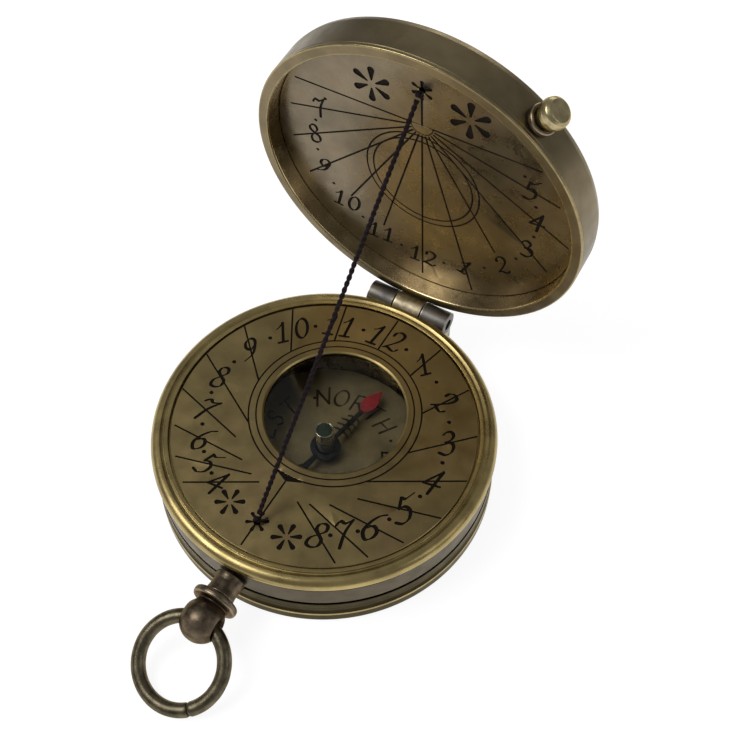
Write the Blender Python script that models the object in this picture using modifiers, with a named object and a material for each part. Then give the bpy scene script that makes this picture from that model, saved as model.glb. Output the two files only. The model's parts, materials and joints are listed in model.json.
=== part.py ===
"""Pocket sundial compass: a drum case with a hinged dial lid, a string gnomon and a compass.

Origin: centre of the case's flat bottom. +Z is up, +Y runs to the hinge, +X to the right.
The lid is modelled shut and then turned open about its hinge; that open pose is the rest pose.
"""
import math

import bpy
import bmesh
from mathutils import Matrix, Vector

MM = 0.001

# Driving dimensions, in millimetres
CASE_R = 30.0           # outer radius of cover and bezel
COVER_TOP = 6.0         # top edge of the bottom cover
FLOOR_TOP = 1.4         # inside floor of the bottom cover
BAND_R = 29.6           # wall between cover and bezel
BAND_LOW = 6.3
BAND_TOP = 11.7
BEZEL_LOW = 12.0
BEZEL_WIDEST = 12.1
BEZEL_TOP = 13.6
GAP = 0.3               # clearance between touching pieces

PLATE_TOP = 13.3        # base hour plate
PLATE_T = 0.5
PLATE_R = 26.6
ANCHOR_Y = -21.2        # string hole in the base plate
STRING_HOLE_R = 0.6

WINDOW_Y = 3.66         # window centre, towards the hinge
WINDOW_R = 12.5
GLASS_R = 13.3
GLASS_LOW = 12.15
GLASS_T = 0.45

BOWL_R = 19.3           # compass bowl, centred on the case
BOWL_WALL = 0.8
BOWL_LOW = 1.7
BOWL_FLOOR = 3.6
CARD_TOP = 4.4
CARD_T = 0.5
NEEDLE_Z = 6.1          # underside of the needle
NEEDLE_T = 0.4
NEEDLE_LENGTH = 15.7    # pivot to tip
NEEDLE_TURN = math.radians(-11.2)
HUB_R = 1.6
HUB_TOP = 11.9

HINGE_Y = 31.0
HINGE_Z = 12.1
KNUCKLE_R = 2.35
HINGE_HALF = 8.1        # half length of the whole hinge
CENTRE_HALF = 2.7       # half length of the lid's knuckle
PIN_R = 0.8
OPEN_ANGLE = math.radians(84.7)

LID_R = 29.9
LID_WALL = 2.0
LID_RIM = 13.9          # rim plane of the shut lid
LID_DEPTH = 7.4
LID_PLATE = 17.3        # face of the lid dial when shut
LID_PLATE_T = 0.5
LID_ANCHOR_Y = -20.5    # string hole in the shut lid
KNOB_ANGLE = math.radians(39.3)   # from the lid's free edge, towards +X
KNOB_IN = 3.4           # from the rim plane to the knob's axis

PENDANT_Z = 7.7
BALL_Y = -38.15
BALL_R = 3.65
BOW_R = 7.3             # centre line of the bow ring
BOW_WIRE_R = 1.2
BOW_SLIT = math.radians(1.6)
BOW_SLIT_AT = math.radians(-50.5)   # where the ring's ends meet, from +X in its own plane

STRING_R = 0.42
KNOT_R = 0.75
KNOT_LIFT = 0.15        # clearance of a knot from its plate, and from the string's end

ROUND = 56              # sides of the large turned pieces
SMALL = 24              # sides of the small ones

# The ring drops from the ball until its far side touches the surface the case stands on.
BOW_DROP = math.asin((PENDANT_Z - BOW_WIRE_R) / (2.0 * BOW_R))


def clear_scene():
    for obj in list(bpy.data.objects):
        bpy.data.objects.remove(obj, do_unlink=True)


def new_collection(name):
    coll = bpy.data.collections.new(name)
    bpy.context.scene.collection.children.link(coll)
    return coll


def make_material(name, color, roughness, metallic, alpha=1.0):
    mat = bpy.data.materials.new(name)
    mat.use_nodes = True
    shader = mat.node_tree.nodes["Principled BSDF"]
    shader.inputs["Base Color"].default_value = (*color, 1.0)
    shader.inputs["Roughness"].default_value = roughness
    shader.inputs["Metallic"].default_value = metallic
    shader.inputs["Alpha"].default_value = alpha
    return mat


clear_scene()
PARTS = new_collection("pocket_sundial_compass")
CUTTERS = new_collection("cutters")

POLISHED = make_material("polished_brass", (0.62, 0.47, 0.20), 0.28, 1.0)
AGED = make_material("aged_brass", (0.42, 0.33, 0.16), 0.40, 1.0)
DIAL = make_material("dial_brass", (0.36, 0.28, 0.14), 0.45, 1.0)
BRONZE = make_material("dark_bronze", (0.16, 0.11, 0.07), 0.38, 1.0)
GUNMETAL = make_material("gunmetal", (0.11, 0.10, 0.10), 0.36, 1.0)
STEEL = make_material("bright_steel", (0.60, 0.60, 0.58), 0.25, 1.0)
BLUED = make_material("blued_steel", (0.03, 0.035, 0.05), 0.35, 0.8)
CARD = make_material("compass_card", (0.23, 0.19, 0.10), 0.55, 0.6)
GREEN = make_material("green_cap", (0.02, 0.10, 0.08), 0.30, 0.0)
GLASS = make_material("window_glass", (0.85, 0.90, 0.90), 0.05, 0.0, 0.3)
CORD = make_material("dark_cord", (0.05, 0.03, 0.05), 0.80, 0.0)


def link(obj, mat):
    """Put a finished piece in the parts collection with its material."""
    for coll in list(obj.users_collection):
        coll.objects.unlink(obj)
    PARTS.objects.link(obj)
    obj.data.materials.clear()
    obj.data.materials.append(mat)
    return obj


def as_cutter(obj):
    for coll in list(obj.users_collection):
        coll.objects.unlink(obj)
    CUTTERS.objects.link(obj)
    obj.hide_render = True
    obj.display_type = "WIRE"
    return obj


def smooth(obj, angle=35.0):
    obj.data.shade_smooth()
    obj.data.set_sharp_from_angle(angle=math.radians(angle))


def mesh_object(name, mesh):
    obj = bpy.data.objects.new(name, mesh)
    bpy.context.scene.collection.objects.link(obj)
    return obj


def turned(name, profile, closed, steps=ROUND, place=None):
    """Revolve (radius, height) points in mm about local Z, then place the piece."""
    mesh = bpy.data.meshes.new(name)
    verts = [(r * MM, 0.0, z * MM) for r, z in profile]
    count = len(verts)
    edges = [(i, i + 1) for i in range(count - 1)]
    if closed:
        edges.append((count - 1, 0))
    mesh.from_pydata(verts, edges, [])
    obj = mesh_object(name, mesh)
    screw = obj.modifiers.new("turn", "SCREW")
    screw.axis = "Z"
    screw.angle = 2.0 * math.pi
    screw.steps = steps
    screw.render_steps = steps
    screw.use_merge_vertices = True
    screw.merge_threshold = 1e-6
    screw.use_smooth_shade = True
    obj.matrix_world = place if place is not None else Matrix.Identity(4)
    return obj


def arc(centre_r, centre_z, radius, start_deg, end_deg, count):
    """Points of a round edge in a profile."""
    points = []
    for i in range(count + 1):
        a = math.radians(start_deg + (end_deg - start_deg) * i / count)
        points.append((centre_r + radius * math.cos(a), centre_z + radius * math.sin(a)))
    return points


def cylinder(name, radius, low, high, steps=ROUND, x=0.0, y=0.0):
    """Solid disc or rod along Z, in mm."""
    bpy.ops.mesh.primitive_cylinder_add(vertices=steps, radius=radius * MM, depth=(high - low) * MM,
                                        location=(x * MM, y * MM, (low + high) / 2 * MM))
    obj = bpy.context.active_object
    obj.name = name
    return obj


def rod_x(name, radius, x_low, x_high, steps=SMALL):
    """Solid rod along X on the hinge axis."""
    bpy.ops.mesh.primitive_cylinder_add(vertices=steps, radius=radius * MM, depth=(x_high - x_low) * MM,
                                        location=((x_low + x_high) / 2 * MM, HINGE_Y * MM, HINGE_Z * MM),
                                        rotation=(0.0, math.pi / 2, 0.0))
    obj = bpy.context.active_object
    obj.name = name
    return obj


def block(name, low, high):
    """Box between two corners in mm, with its scale applied."""
    centre = [(a + b) / 2 * MM for a, b in zip(low, high)]
    bpy.ops.mesh.primitive_cube_add(size=1.0, location=centre)
    obj = bpy.context.active_object
    obj.name = name
    obj.scale = [(b - a) * MM for a, b in zip(low, high)]
    bpy.ops.object.transform_apply(location=False, rotation=False, scale=True)
    return obj


def boolean(obj, other, operation):
    mod = obj.modifiers.new(operation.lower(), "BOOLEAN")
    mod.operation = operation
    mod.solver = "EXACT"
    mod.object = as_cutter(other)
    return obj


def cutters_of(obj):
    """Everything a piece is cut or joined with, and what those are cut with in turn."""
    found = []
    for mod in obj.modifiers:
        if mod.type == "BOOLEAN":
            found += [mod.object, *cutters_of(mod.object)]
    return found


def frame_along(origin, axis):
    """Matrix that takes local Z to the axis, at an origin in mm."""
    turn = Vector((0.0, 0.0, 1.0)).rotation_difference(Vector(axis).normalized())
    return Matrix.Translation(Vector(origin) * MM) @ turn.to_matrix().to_4x4()


def curve_solid(name, build, extrude=0.0, bevel=0.0, resolution=2, flat=False):
    """Turn a curve into one welded mesh solid."""
    data = bpy.data.curves.new(name, "CURVE")
    data.dimensions = "2D" if flat else "3D"
    data.extrude = extrude * MM
    data.bevel_depth = bevel * MM
    data.bevel_resolution = resolution
    data.fill_mode = "BOTH" if flat else "FULL"
    data.use_fill_caps = not flat
    build(data)
    source = bpy.data.objects.new(name + "_curve", data)
    bpy.context.scene.collection.objects.link(source)
    bpy.context.view_layer.update()
    evaluated = source.evaluated_get(bpy.context.evaluated_depsgraph_get())
    mesh = bpy.data.meshes.new_from_object(evaluated)
    bm = bmesh.new()
    bm.from_mesh(mesh)
    bmesh.ops.remove_doubles(bm, verts=bm.verts, dist=1e-6)
    bm.to_mesh(mesh)
    bm.free()
    obj = mesh_object(name, mesh)
    bpy.data.objects.remove(source)
    return obj


def poly_spline(data, points, closed):
    spline = data.splines.new("POLY")
    spline.points.add(len(points) - 1)
    for target, point in zip(spline.points, points):
        target.co = (*[c * MM for c in point], 1.0)
    spline.use_cyclic_u = closed


# Case: bottom cover, band and bezel -----------------------------------------------------------

def groove(height, depth=0.25, width=0.4):
    """A fine turned groove in the cover's side, listed downwards."""
    return [(CASE_R, height + width / 2), (CASE_R - depth, height + width / 4),
            (CASE_R - depth, height - width / 4), (CASE_R, height - width / 2)]


def base_cover():
    inner = BAND_R - 1.7
    profile = [(0.0, FLOOR_TOP), (inner - 0.6, FLOOR_TOP), (inner, FLOOR_TOP + 0.6), (inner, COVER_TOP),
               (CASE_R - 0.4, COVER_TOP), (CASE_R, COVER_TOP - 0.4)]
    profile += groove(4.9)
    profile += [(CASE_R, 0.7), (CASE_R - 0.7, 0.0), (26.0, 0.0), (25.6, 0.25), (24.4, 0.25), (24.0, 0.0),
                (0.0, 0.0)]
    cover = link(turned("base_cover", profile, closed=False), AGED)
    notch = turned("pendant_notch", [(0.0, 5.0), (3.0, 5.0), (3.0, 0.0), (0.0, 0.0)], closed=False,
                   steps=SMALL, place=frame_along((0.0, -CASE_R + 3.0, PENDANT_Z), (0.0, -1.0, 0.0)))
    boolean(cover, notch, "DIFFERENCE")


def case_band():
    skirt_r = BAND_R - 2.0
    inner = 26.0
    profile = [(BAND_R - 0.3, BAND_TOP), (BAND_R, BAND_TOP - 0.3), (BAND_R, BAND_LOW + 0.2),
               (BAND_R - 0.2, BAND_LOW), (skirt_r, BAND_LOW), (skirt_r, 3.2), (inner, 3.2), (inner, BAND_TOP)]
    band = link(turned("case_band", profile, closed=True), AGED)
    boolean(band, hinge_notch("band_notch"), "DIFFERENCE")


def bezel_ring():
    seat = PLATE_R + GAP
    profile = [(seat + 0.1, BEZEL_TOP - 0.15), (seat + 0.45, BEZEL_TOP)]
    profile += arc(28.5, BEZEL_WIDEST, BEZEL_TOP - BEZEL_WIDEST, 90.0, 0.0, 4)
    profile += [(BAND_R, BEZEL_LOW), (25.8, BEZEL_LOW), (25.8, PLATE_TOP - PLATE_T - GAP),
                (seat, PLATE_TOP - PLATE_T - GAP), (seat, PLATE_TOP)]
    bezel = link(turned("bezel_ring", profile, closed=True), POLISHED)
    boolean(bezel, hinge_notch("bezel_notch"), "DIFFERENCE")


def hinge_notch(name):
    """Clearance for the knuckles, let into the case."""
    return rod_x(name, KNUCKLE_R + GAP, -HINGE_HALF - GAP, HINGE_HALF + GAP)


# Base dial and compass --------------------------------------------------------------------------

def hour_plate():
    low, high = PLATE_TOP - PLATE_T - 1.0, PLATE_TOP + 1.0
    plate = link(cylinder("hour_plate", PLATE_R, PLATE_TOP - PLATE_T, PLATE_TOP), DIAL)
    boolean(plate, cylinder("window_cut", WINDOW_R, low, high, y=WINDOW_Y), "DIFFERENCE")
    boolean(plate, cylinder("string_cut", STRING_HOLE_R, low, high, steps=16, y=ANCHOR_Y), "DIFFERENCE")


def window():
    glass_top = GLASS_LOW + GLASS_T
    link(cylinder("window_glass", GLASS_R, GLASS_LOW, glass_top, y=WINDOW_Y), GLASS)
    outer = GLASS_R + 1.0
    bore = GLASS_R + GAP
    lip_top = GLASS_LOW - 0.25
    profile = [(outer, glass_top - 0.05), (outer, lip_top - 0.5), (WINDOW_R + 0.2, lip_top - 0.5),
               (WINDOW_R + 0.2, lip_top), (bore, lip_top), (bore, glass_top - 0.05)]
    place = Matrix.Translation((0.0, WINDOW_Y * MM, 0.0))
    link(turned("glass_retainer", profile, closed=True, steps=48, place=place), AGED)


def compass_bowl():
    inner = BOWL_R - BOWL_WALL
    profile = [(0.0, BOWL_FLOOR), (inner, BOWL_FLOOR), (inner, GLASS_LOW), (BOWL_R, GLASS_LOW),
               (BOWL_R, BOWL_LOW), (0.0, BOWL_LOW)]
    link(turned("compass_bowl", profile, closed=False, steps=48), AGED)


def compass_card():
    outer = BOWL_R - BOWL_WALL - GAP
    low = CARD_TOP - CARD_T
    profile = [(outer, CARD_TOP), (outer, low), (1.6, low), (1.6, CARD_TOP)]
    link(turned("compass_card", profile, closed=True, steps=48), CARD)


def pivot_pin():
    foot = BOWL_FLOOR + GAP
    profile = [(0.0, 9.1), (0.12, 9.05), (0.45, 8.2), (0.45, 4.9), (1.2, 4.6), (1.2, foot), (0.0, foot)]
    link(turned("pivot_pin", profile, closed=False, steps=20), STEEL)


def needle_outline(data):
    """Arrow with a broad head, a ring round the hub and a forked tail."""
    half = 0.55
    side = [(half, -10.5), (1.9, -13.6), (0.9, -13.2), (half, -14.6), (0.0, -NEEDLE_LENGTH)]
    head = [(0.0, NEEDLE_LENGTH), (1.7, 12.6), (1.35, 10.2), (half, 9.6)]
    ring = [(2.9 * math.sin(a), 2.9 * math.cos(a)) for a in
            [math.radians(11.0 + 158.0 * i / 6) for i in range(7)]]
    right = head + ring + side
    left = [(-x, y) for x, y in reversed(right[1:-1])]
    poly_spline(data, [(x, y, 0.0) for x, y in right + left], closed=True)
    hole = HUB_R + GAP / 2
    angles = [2.0 * math.pi * i / 20 for i in range(20)]
    poly_spline(data, [(hole * math.cos(a), hole * math.sin(a), 0.0) for a in angles], closed=True)


def compass_needle(pivot):
    needle = link(curve_solid("compass_needle", needle_outline, extrude=NEEDLE_T / 2, flat=True), BLUED)
    attach(needle, pivot, Matrix.Translation((0.0, 0.0, (NEEDLE_Z + NEEDLE_T / 2) * MM)))
    recess = HUB_TOP - 0.65
    profile = [(0.0, recess), (HUB_R - 0.25, recess), (HUB_R - 0.25, HUB_TOP), (HUB_R, HUB_TOP),
               (HUB_R, NEEDLE_Z - GAP / 2), (HUB_R + 0.4, NEEDLE_Z - 0.3), (HUB_R + 0.4, 5.0),
               (0.9, 5.0), (0.9, 9.0), (0.0, 9.5)]
    hub = link(turned("needle_hub", profile, closed=False, steps=20), POLISHED)
    attach(hub, pivot, Matrix.Identity(4))
    cap = link(cylinder("hub_cap", HUB_R - 0.5, recess + 0.25, HUB_TOP - 0.05, steps=20), GREEN)
    attach(cap, pivot, cap.matrix_world.copy())


def attach(obj, parent, local):
    """Parent a piece to a joint's empty, at a place given in the piece's own unturned frame."""
    obj.parent = parent
    obj.matrix_parent_inverse = Matrix.Identity(4)
    obj.matrix_basis = local


def joint_empty(name, origin, turn):
    """Empty on a joint's axis, turned to the rest pose."""
    empty = bpy.data.objects.new(name, None)
    PARTS.objects.link(empty)
    empty.location = Vector(origin) * MM
    empty.rotation_euler = turn
    return empty


# Hinge ------------------------------------------------------------------------------------------

def knuckle(name, x_low, x_high, z_low, z_high, wall_r, mat):
    """Hinge tube with a foot that is hollowed to fit against a round wall."""
    part = link(rod_x(name, KNUCKLE_R, x_low, x_high), mat)
    foot = block(name + "_foot", (x_low, 28.0, z_low), (x_high, 32.2, z_high))
    boolean(foot, cylinder(name + "_wall", wall_r, 5.0, 20.0, steps=96), "DIFFERENCE")
    boolean(part, foot, "UNION")
    boolean(part, rod_x(name + "_bore", PIN_R + GAP, x_low - 1.0, x_high + 1.0, steps=20), "DIFFERENCE")
    return part


def hinge():
    clear = CENTRE_HALF + GAP
    for side, low, high in (("left", -HINGE_HALF, -clear), ("right", clear, HINGE_HALF)):
        knuckle("hinge_knuckle_" + side, low, high, 7.4, HINGE_Z, BAND_R + GAP, GUNMETAL)
    link(rod_x("hinge_pin", PIN_R, -HINGE_HALF + 0.7, HINGE_HALF - 0.7, steps=20), STEEL)


# Lid, modelled shut -------------------------------------------------------------------------------

def lid_shell():
    back = LID_RIM + LID_DEPTH
    inner = LID_R - LID_WALL
    seat = LID_PLATE + LID_PLATE_T + GAP
    profile = [(0.0, back), (15.0, back), (15.3, back - 0.25), (16.1, back - 0.25), (16.4, back)]
    profile += arc(LID_R - 1.4, back - 1.4, 1.4, 90.0, 0.0, 4)
    profile += [(LID_R, LID_RIM + 0.3), (LID_R - 0.3, LID_RIM), (inner + 0.3, LID_RIM), (inner, LID_RIM + 0.3),
                (inner, seat), (inner - 1.7, seat), (inner - 1.7, back - 1.0), (0.0, back - 1.0)]
    shell = link(turned("lid_shell", profile, closed=False), AGED)
    boolean(shell, hinge_notch("lid_notch"), "DIFFERENCE")
    return shell


def lid_dial_plate():
    plate = cylinder("lid_dial_plate", LID_R - LID_WALL - GAP, LID_PLATE, LID_PLATE + LID_PLATE_T)
    link(plate, DIAL)
    cut = cylinder("lid_string_cut", STRING_HOLE_R, LID_PLATE - 1.0, LID_PLATE + LID_PLATE_T + 1.0, steps=16,
                   y=LID_ANCHOR_Y)
    boolean(plate, cut, "DIFFERENCE")
    return plate


def knob_axis():
    return Vector((math.sin(KNOB_ANGLE), -math.cos(KNOB_ANGLE), 0.0))


def knob_parts():
    """Collar and flat-nosed barrel knob, along their own Z, standing on the lid's wall."""
    place = frame_along(knob_axis() * (LID_R + GAP) + Vector((0.0, 0.0, LID_RIM + KNOB_IN)), knob_axis())
    ring = [(2.25, 0.9), (2.45, 0.7), (2.45, 0.0), (1.9, 0.0), (1.9, 0.9)]
    collar = link(turned("knob_collar", ring, closed=True, steps=SMALL, place=place), POLISHED)
    profile = [(0.0, 4.4), (1.7, 4.35), (2.2, 3.95), (2.45, 3.3), (2.45, 2.6), (2.2, 1.9), (1.8, 1.3),
               (1.6, 1.1), (1.6, 0.0), (0.0, 0.0)]
    knob = link(turned("lid_knob", profile, closed=False, steps=SMALL, place=place), POLISHED)
    return collar, knob


# Pendant and bow ring -----------------------------------------------------------------------------

def pendant():
    place = frame_along((0.0, -BAND_R - GAP, PENDANT_Z), (0.0, -1.0, 0.0))
    neck = [(0.0, 3.6), (2.6, 3.6), (2.6, 0.5), (2.7, 0.0), (0.0, 0.0)]
    link(turned("pendant_neck", neck, closed=False, steps=SMALL, place=place), BRONZE)
    collar_low = 3.9
    collar_high = 5.1
    ball_z = -BALL_Y - BAND_R - GAP
    profile = [(0.0, ball_z + BALL_R)]
    profile += arc(0.0, ball_z, BALL_R, 76.0, -42.0, 7)
    profile += [(2.5, collar_high + 0.2), (3.7, collar_high), (4.0, collar_high - 0.3),
                (4.0, collar_low + 0.3), (3.7, collar_low), (0.0, collar_low)]
    finial = link(turned("pendant_finial", profile, closed=False, steps=SMALL, place=place), BRONZE)
    boolean(finial, bow_bore(), "DIFFERENCE")


def bow_bore():
    """Hole through the ball that widens outwards as the ring curves away from the hole's axis."""
    reach = 4.4
    count = 6
    profile = [(0.0, reach)]
    for i in range(count + 1):
        x = reach - 2.0 * reach * i / count
        profile.append((BOW_WIRE_R + 0.25 + BOW_R - math.sqrt(BOW_R ** 2 - x ** 2), x))
    profile.append((0.0, -reach))
    return turned("bow_bore", profile, closed=False, steps=SMALL,
                  place=frame_along((0.0, BALL_Y, PENDANT_Z), (1.0, 0.0, 0.0)))


def bow_ring(pivot):
    """Open wire ring whose butt joint lies to the right of the point opposite the ball."""
    def build(data):
        points = []
        count = 36
        for i in range(count + 1):
            a = BOW_SLIT_AT + BOW_SLIT / 2 + (2.0 * math.pi - BOW_SLIT) * i / count
            points.append((BOW_R * math.cos(a), -BOW_R + BOW_R * math.sin(a), 0.0))
        poly_spline(data, points, closed=False)
    ring = link(curve_solid("bow_ring", build, bevel=BOW_WIRE_R, resolution=2), BRONZE)
    smooth(ring)
    attach(ring, pivot, Matrix.Identity(4))


# String gnomon --------------------------------------------------------------------------------------

def knot(name, x, y, z):
    """Flattened knot over a string hole."""
    bpy.ops.mesh.primitive_uv_sphere_add(segments=12, ring_count=8, radius=KNOT_R * MM,
                                         location=(x * MM, y * MM, z * MM))
    obj = bpy.context.active_object
    obj.name = name
    return link(obj, CORD)


def lower_knot_centre():
    return Vector((0.0, ANCHOR_Y, PLATE_TOP + KNOT_LIFT + KNOT_R))


def upper_knot_centre(lid_pivot):
    shut = Vector((0.0, LID_ANCHOR_Y, LID_PLATE - KNOT_LIFT - KNOT_R))
    hinge_point = Vector((0.0, HINGE_Y, HINGE_Z))
    return hinge_point + lid_pivot.rotation_euler.to_matrix() @ (shut - hinge_point)


def gnomon_string(start, end):
    """Taut cord from knot to knot."""
    run = (end - start).normalized()
    first = start + run * (KNOT_R + KNOT_LIFT)
    last = end - run * (KNOT_R + KNOT_LIFT)
    count = 34

    def build(data):
        poly_spline(data, [first.lerp(last, i / count) for i in range(count + 1)], closed=False)
    smooth(link(curve_solid("gnomon_string", build, bevel=STRING_R, resolution=2), CORD))


def build_all():
    base_cover()
    case_band()
    bezel_ring()
    hour_plate()
    window()
    compass_bowl()
    compass_card()
    pivot_pin()
    needle_pivot = joint_empty("needle_pivot", (0.0, 0.0, 0.0), (0.0, 0.0, NEEDLE_TURN))
    compass_needle(needle_pivot)
    hinge()
    lid_pivot = joint_empty("lid_pivot", (0.0, HINGE_Y, HINGE_Z), (-OPEN_ANGLE, 0.0, 0.0))
    shut = Matrix.Translation((0.0, -HINGE_Y * MM, -HINGE_Z * MM))
    centre = knuckle("hinge_knuckle_lid", -CENTRE_HALF, CENTRE_HALF, HINGE_Z, 17.0, LID_R + GAP, AGED)
    cover = lid_shell()
    dial = lid_dial_plate()
    upper = knot("string_knot_upper", 0.0, LID_ANCHOR_Y, LID_PLATE - KNOT_LIFT - KNOT_R)
    for piece in (centre, cover, dial, upper, *knob_parts()):
        for each in (piece, *cutters_of(piece)):
            bpy.context.view_layer.update()
            attach(each, lid_pivot, shut @ each.matrix_world.copy())
    pendant()
    bow_pivot = joint_empty("bow_pivot", (0.0, BALL_Y, PENDANT_Z), (BOW_DROP, 0.0, 0.0))
    bow_ring(bow_pivot)
    knot("string_knot_lower", *lower_knot_centre())
    bpy.context.view_layer.update()
    gnomon_string(lower_knot_centre(), upper_knot_centre(lid_pivot))


build_all()
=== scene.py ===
"""Looks of the pocket sundial compass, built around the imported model.

Lengths are millimetres and a mesh is scaled to metres when it is made. Lid pieces are modelled
shut, like the rest of the case, and then turned open about the hinge, which is the rest pose.
"""

import json
import math

import bmesh
import bpy
import numpy as np
from mathutils import Matrix, Vector, noise
from mathutils.geometry import delaunay_2d_cdt


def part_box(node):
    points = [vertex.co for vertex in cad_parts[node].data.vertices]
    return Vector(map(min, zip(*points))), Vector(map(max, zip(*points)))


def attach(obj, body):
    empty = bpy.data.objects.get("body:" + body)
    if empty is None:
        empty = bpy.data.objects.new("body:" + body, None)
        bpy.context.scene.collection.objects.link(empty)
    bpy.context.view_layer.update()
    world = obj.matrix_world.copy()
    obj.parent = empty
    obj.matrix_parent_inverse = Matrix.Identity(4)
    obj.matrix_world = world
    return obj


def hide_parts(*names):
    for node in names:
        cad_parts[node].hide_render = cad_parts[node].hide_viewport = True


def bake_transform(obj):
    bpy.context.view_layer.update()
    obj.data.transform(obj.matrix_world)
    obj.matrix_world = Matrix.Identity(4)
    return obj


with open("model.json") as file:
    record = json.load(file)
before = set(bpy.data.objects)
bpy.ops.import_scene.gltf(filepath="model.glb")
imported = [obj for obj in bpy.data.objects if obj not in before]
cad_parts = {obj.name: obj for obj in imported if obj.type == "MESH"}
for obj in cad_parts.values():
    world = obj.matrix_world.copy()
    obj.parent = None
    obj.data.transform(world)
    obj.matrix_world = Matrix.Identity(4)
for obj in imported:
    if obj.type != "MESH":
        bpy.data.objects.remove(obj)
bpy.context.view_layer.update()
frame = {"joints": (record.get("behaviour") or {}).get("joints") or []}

MM = 0.001
X, Y, Z = 0, 1, 2


def span(node, axis):
    """Low and high side of a CAD node's box at rest, in mm."""
    return [end[axis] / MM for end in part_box(node)]


def joint(name):
    return next(each for each in frame["joints"] if each["name"] == name)


def joint_origin(name):
    return Vector(joint(name)["pos_m"]) / MM


# --- Sizes, from the frame where it has them ---

ROUND = 256                 # sides of the large turned pieces
SMALL = 96                  # sides of the small ones
GAP = 0.3

CASE_R = span("base_cover", X)[1]
COVER_TOP = span("base_cover", Z)[1]
BAND_R = span("case_band", X)[1]
BAND_LOW = COVER_TOP + GAP
BAND_TOP = span("case_band", Z)[1]
BEZEL_LOW, BEZEL_TOP = span("bezel_ring", Z)
PLATE_R = span("hour_plate", X)[1]
PLATE_LOW, PLATE_TOP = span("hour_plate", Z)
SEAT_R = PLATE_R + GAP

WINDOW_Y = sum(span("window_glass", Y)) / 2
WINDOW_R = 12.5
GLASS_R = span("window_glass", X)[1]
GLASS_LOW, GLASS_TOP = span("window_glass", Z)
BOWL_R = span("compass_bowl", X)[1]
BOWL_LOW = span("compass_bowl", Z)[0]
BOWL_FLOOR = 3.6
CARD_R = span("compass_card", X)[1]
CARD_LOW, CARD_TOP = span("compass_card", Z)
NEEDLE_LOW, NEEDLE_TOP = span("compass_needle", Z)
NEEDLE_TURN = math.radians(-11.2)
NEEDLE_LENGTH = 15.7
HUB_R = 1.6
HUB_TOP = span("needle_hub", Z)[1]

HINGE = joint_origin("lid_hinge")
KNUCKLE_R = 2.35
HINGE_HALF = span("hinge_knuckle_right", X)[1]
CENTRE_HALF = span("hinge_knuckle_lid", X)[1]
PIN_R = 0.8
OPEN_ANGLE = math.radians(joint("lid_hinge")["range_deg"][1])
LID_R = span("lid_shell", X)[1]
LID_WALL = 2.0
LID_RIM = 13.9
LID_DEPTH = 7.4
LID_PLATE = 17.3            # face of the lid dial when the lid is shut
LID_PLATE_T = 0.5
LID_PLATE_R = LID_R - LID_WALL - 0.08   # a hairline all round it
LID_ANCHOR = 20.5           # string hole, from the lid's centre towards its free edge
KNOB_ANGLE = math.radians(39.3)
KNOB_IN = 3.4               # from the lid's rim plane to the knob's axis

BALL = joint_origin("bow_swing")
BALL_R = 3.65
BOW_R = 7.3
BOW_WIRE_R = 1.2
BOW_SLIT = math.radians(1.6)
BOW_SLIT_AT = math.radians(-50.5)   # where the ring's ends meet, from +X in its own plane
BOW_DROP = math.asin((BALL.z - BOW_WIRE_R) / (2.0 * BOW_R))

ANCHOR_Y = -21.2
STRING_HOLE_R = 0.6
STRING_D = 0.84
KNOT_R = 0.75
KNOT_GAP = 0.15             # from the knot to the plate, and to where the string starts

SHUT_TO_OPEN = (Matrix.Translation(HINGE) @ Matrix.Rotation(-OPEN_ANGLE, 4, "X")
                @ Matrix.Translation(-HINGE))


# --- Camera, floor and lights ---

def back_vector(azimuth, elevation):
    """Unit vector from the object towards a viewer; azimuth 0 looks along +Y."""
    a, e = math.radians(azimuth), math.radians(elevation)
    return Vector((math.sin(a) * math.cos(e), -math.cos(a) * math.cos(e), math.sin(e)))


def aim(name, data, azimuth, elevation, distance, target, roll=0.0):
    """Object for a camera's or lamp's data, that distance in mm from a target and facing it."""
    obj = bpy.data.objects.new(name, data)
    bpy.context.scene.collection.objects.link(obj)
    back = back_vector(azimuth, elevation)
    turn = (-back).to_track_quat("-Z", "Y").to_matrix().to_4x4()
    place = Matrix.Translation((Vector(target) + back * distance) * MM)
    obj.matrix_world = place @ turn @ Matrix.Rotation(math.radians(roll), 4, "Z")
    return obj


def add_camera():
    data = bpy.data.cameras.new("camera")
    data.sensor_width = 36.0
    data.lens = 53.8
    data.clip_start = 0.01
    bpy.context.scene.camera = aim("camera", data, azimuth=29.97, elevation=54.62, distance=187.8,
                                   target=(2.06, 10.56, 20.0), roll=-0.17)


def softbox(name, azimuth, elevation, width, height, watts):
    data = bpy.data.lights.new(name, "AREA")
    data.shape = "RECTANGLE"
    data.size, data.size_y = width * MM, height * MM
    data.energy = watts
    aim(name, data, azimuth, elevation, distance=520.0, target=(0.0, 5.0, 20.0))


def add_studio():
    scene = bpy.context.scene
    scene.view_settings.view_transform = "Standard"
    world = bpy.data.worlds.new("studio")
    scene.world = world
    world.use_nodes = True
    sky = world.node_tree.nodes["Background"]
    sky.inputs["Color"].default_value = (0.97, 0.98, 1.0, 1.0)
    light, backdrop = 0.25, 1.0     # how it lights the object, and how white the camera sees it
    path = world.node_tree.nodes.new("ShaderNodeLightPath")
    seen = world.node_tree.nodes.new("ShaderNodeMapRange")
    seen.inputs["To Min"].default_value = light
    seen.inputs["To Max"].default_value = backdrop
    world.node_tree.links.new(path.outputs["Is Camera Ray"], seen.inputs["Value"])
    world.node_tree.links.new(seen.outputs["Result"], sky.inputs["Strength"])
    softbox("key", -52.0, 55.0, 300.0, 300.0, 1.2)
    softbox("rim", 190.0, 30.0, 300.0, 120.0, 0.3)
    softbox("front", 93.0, 34.0, 150.0, 220.0, 0.14)


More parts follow.
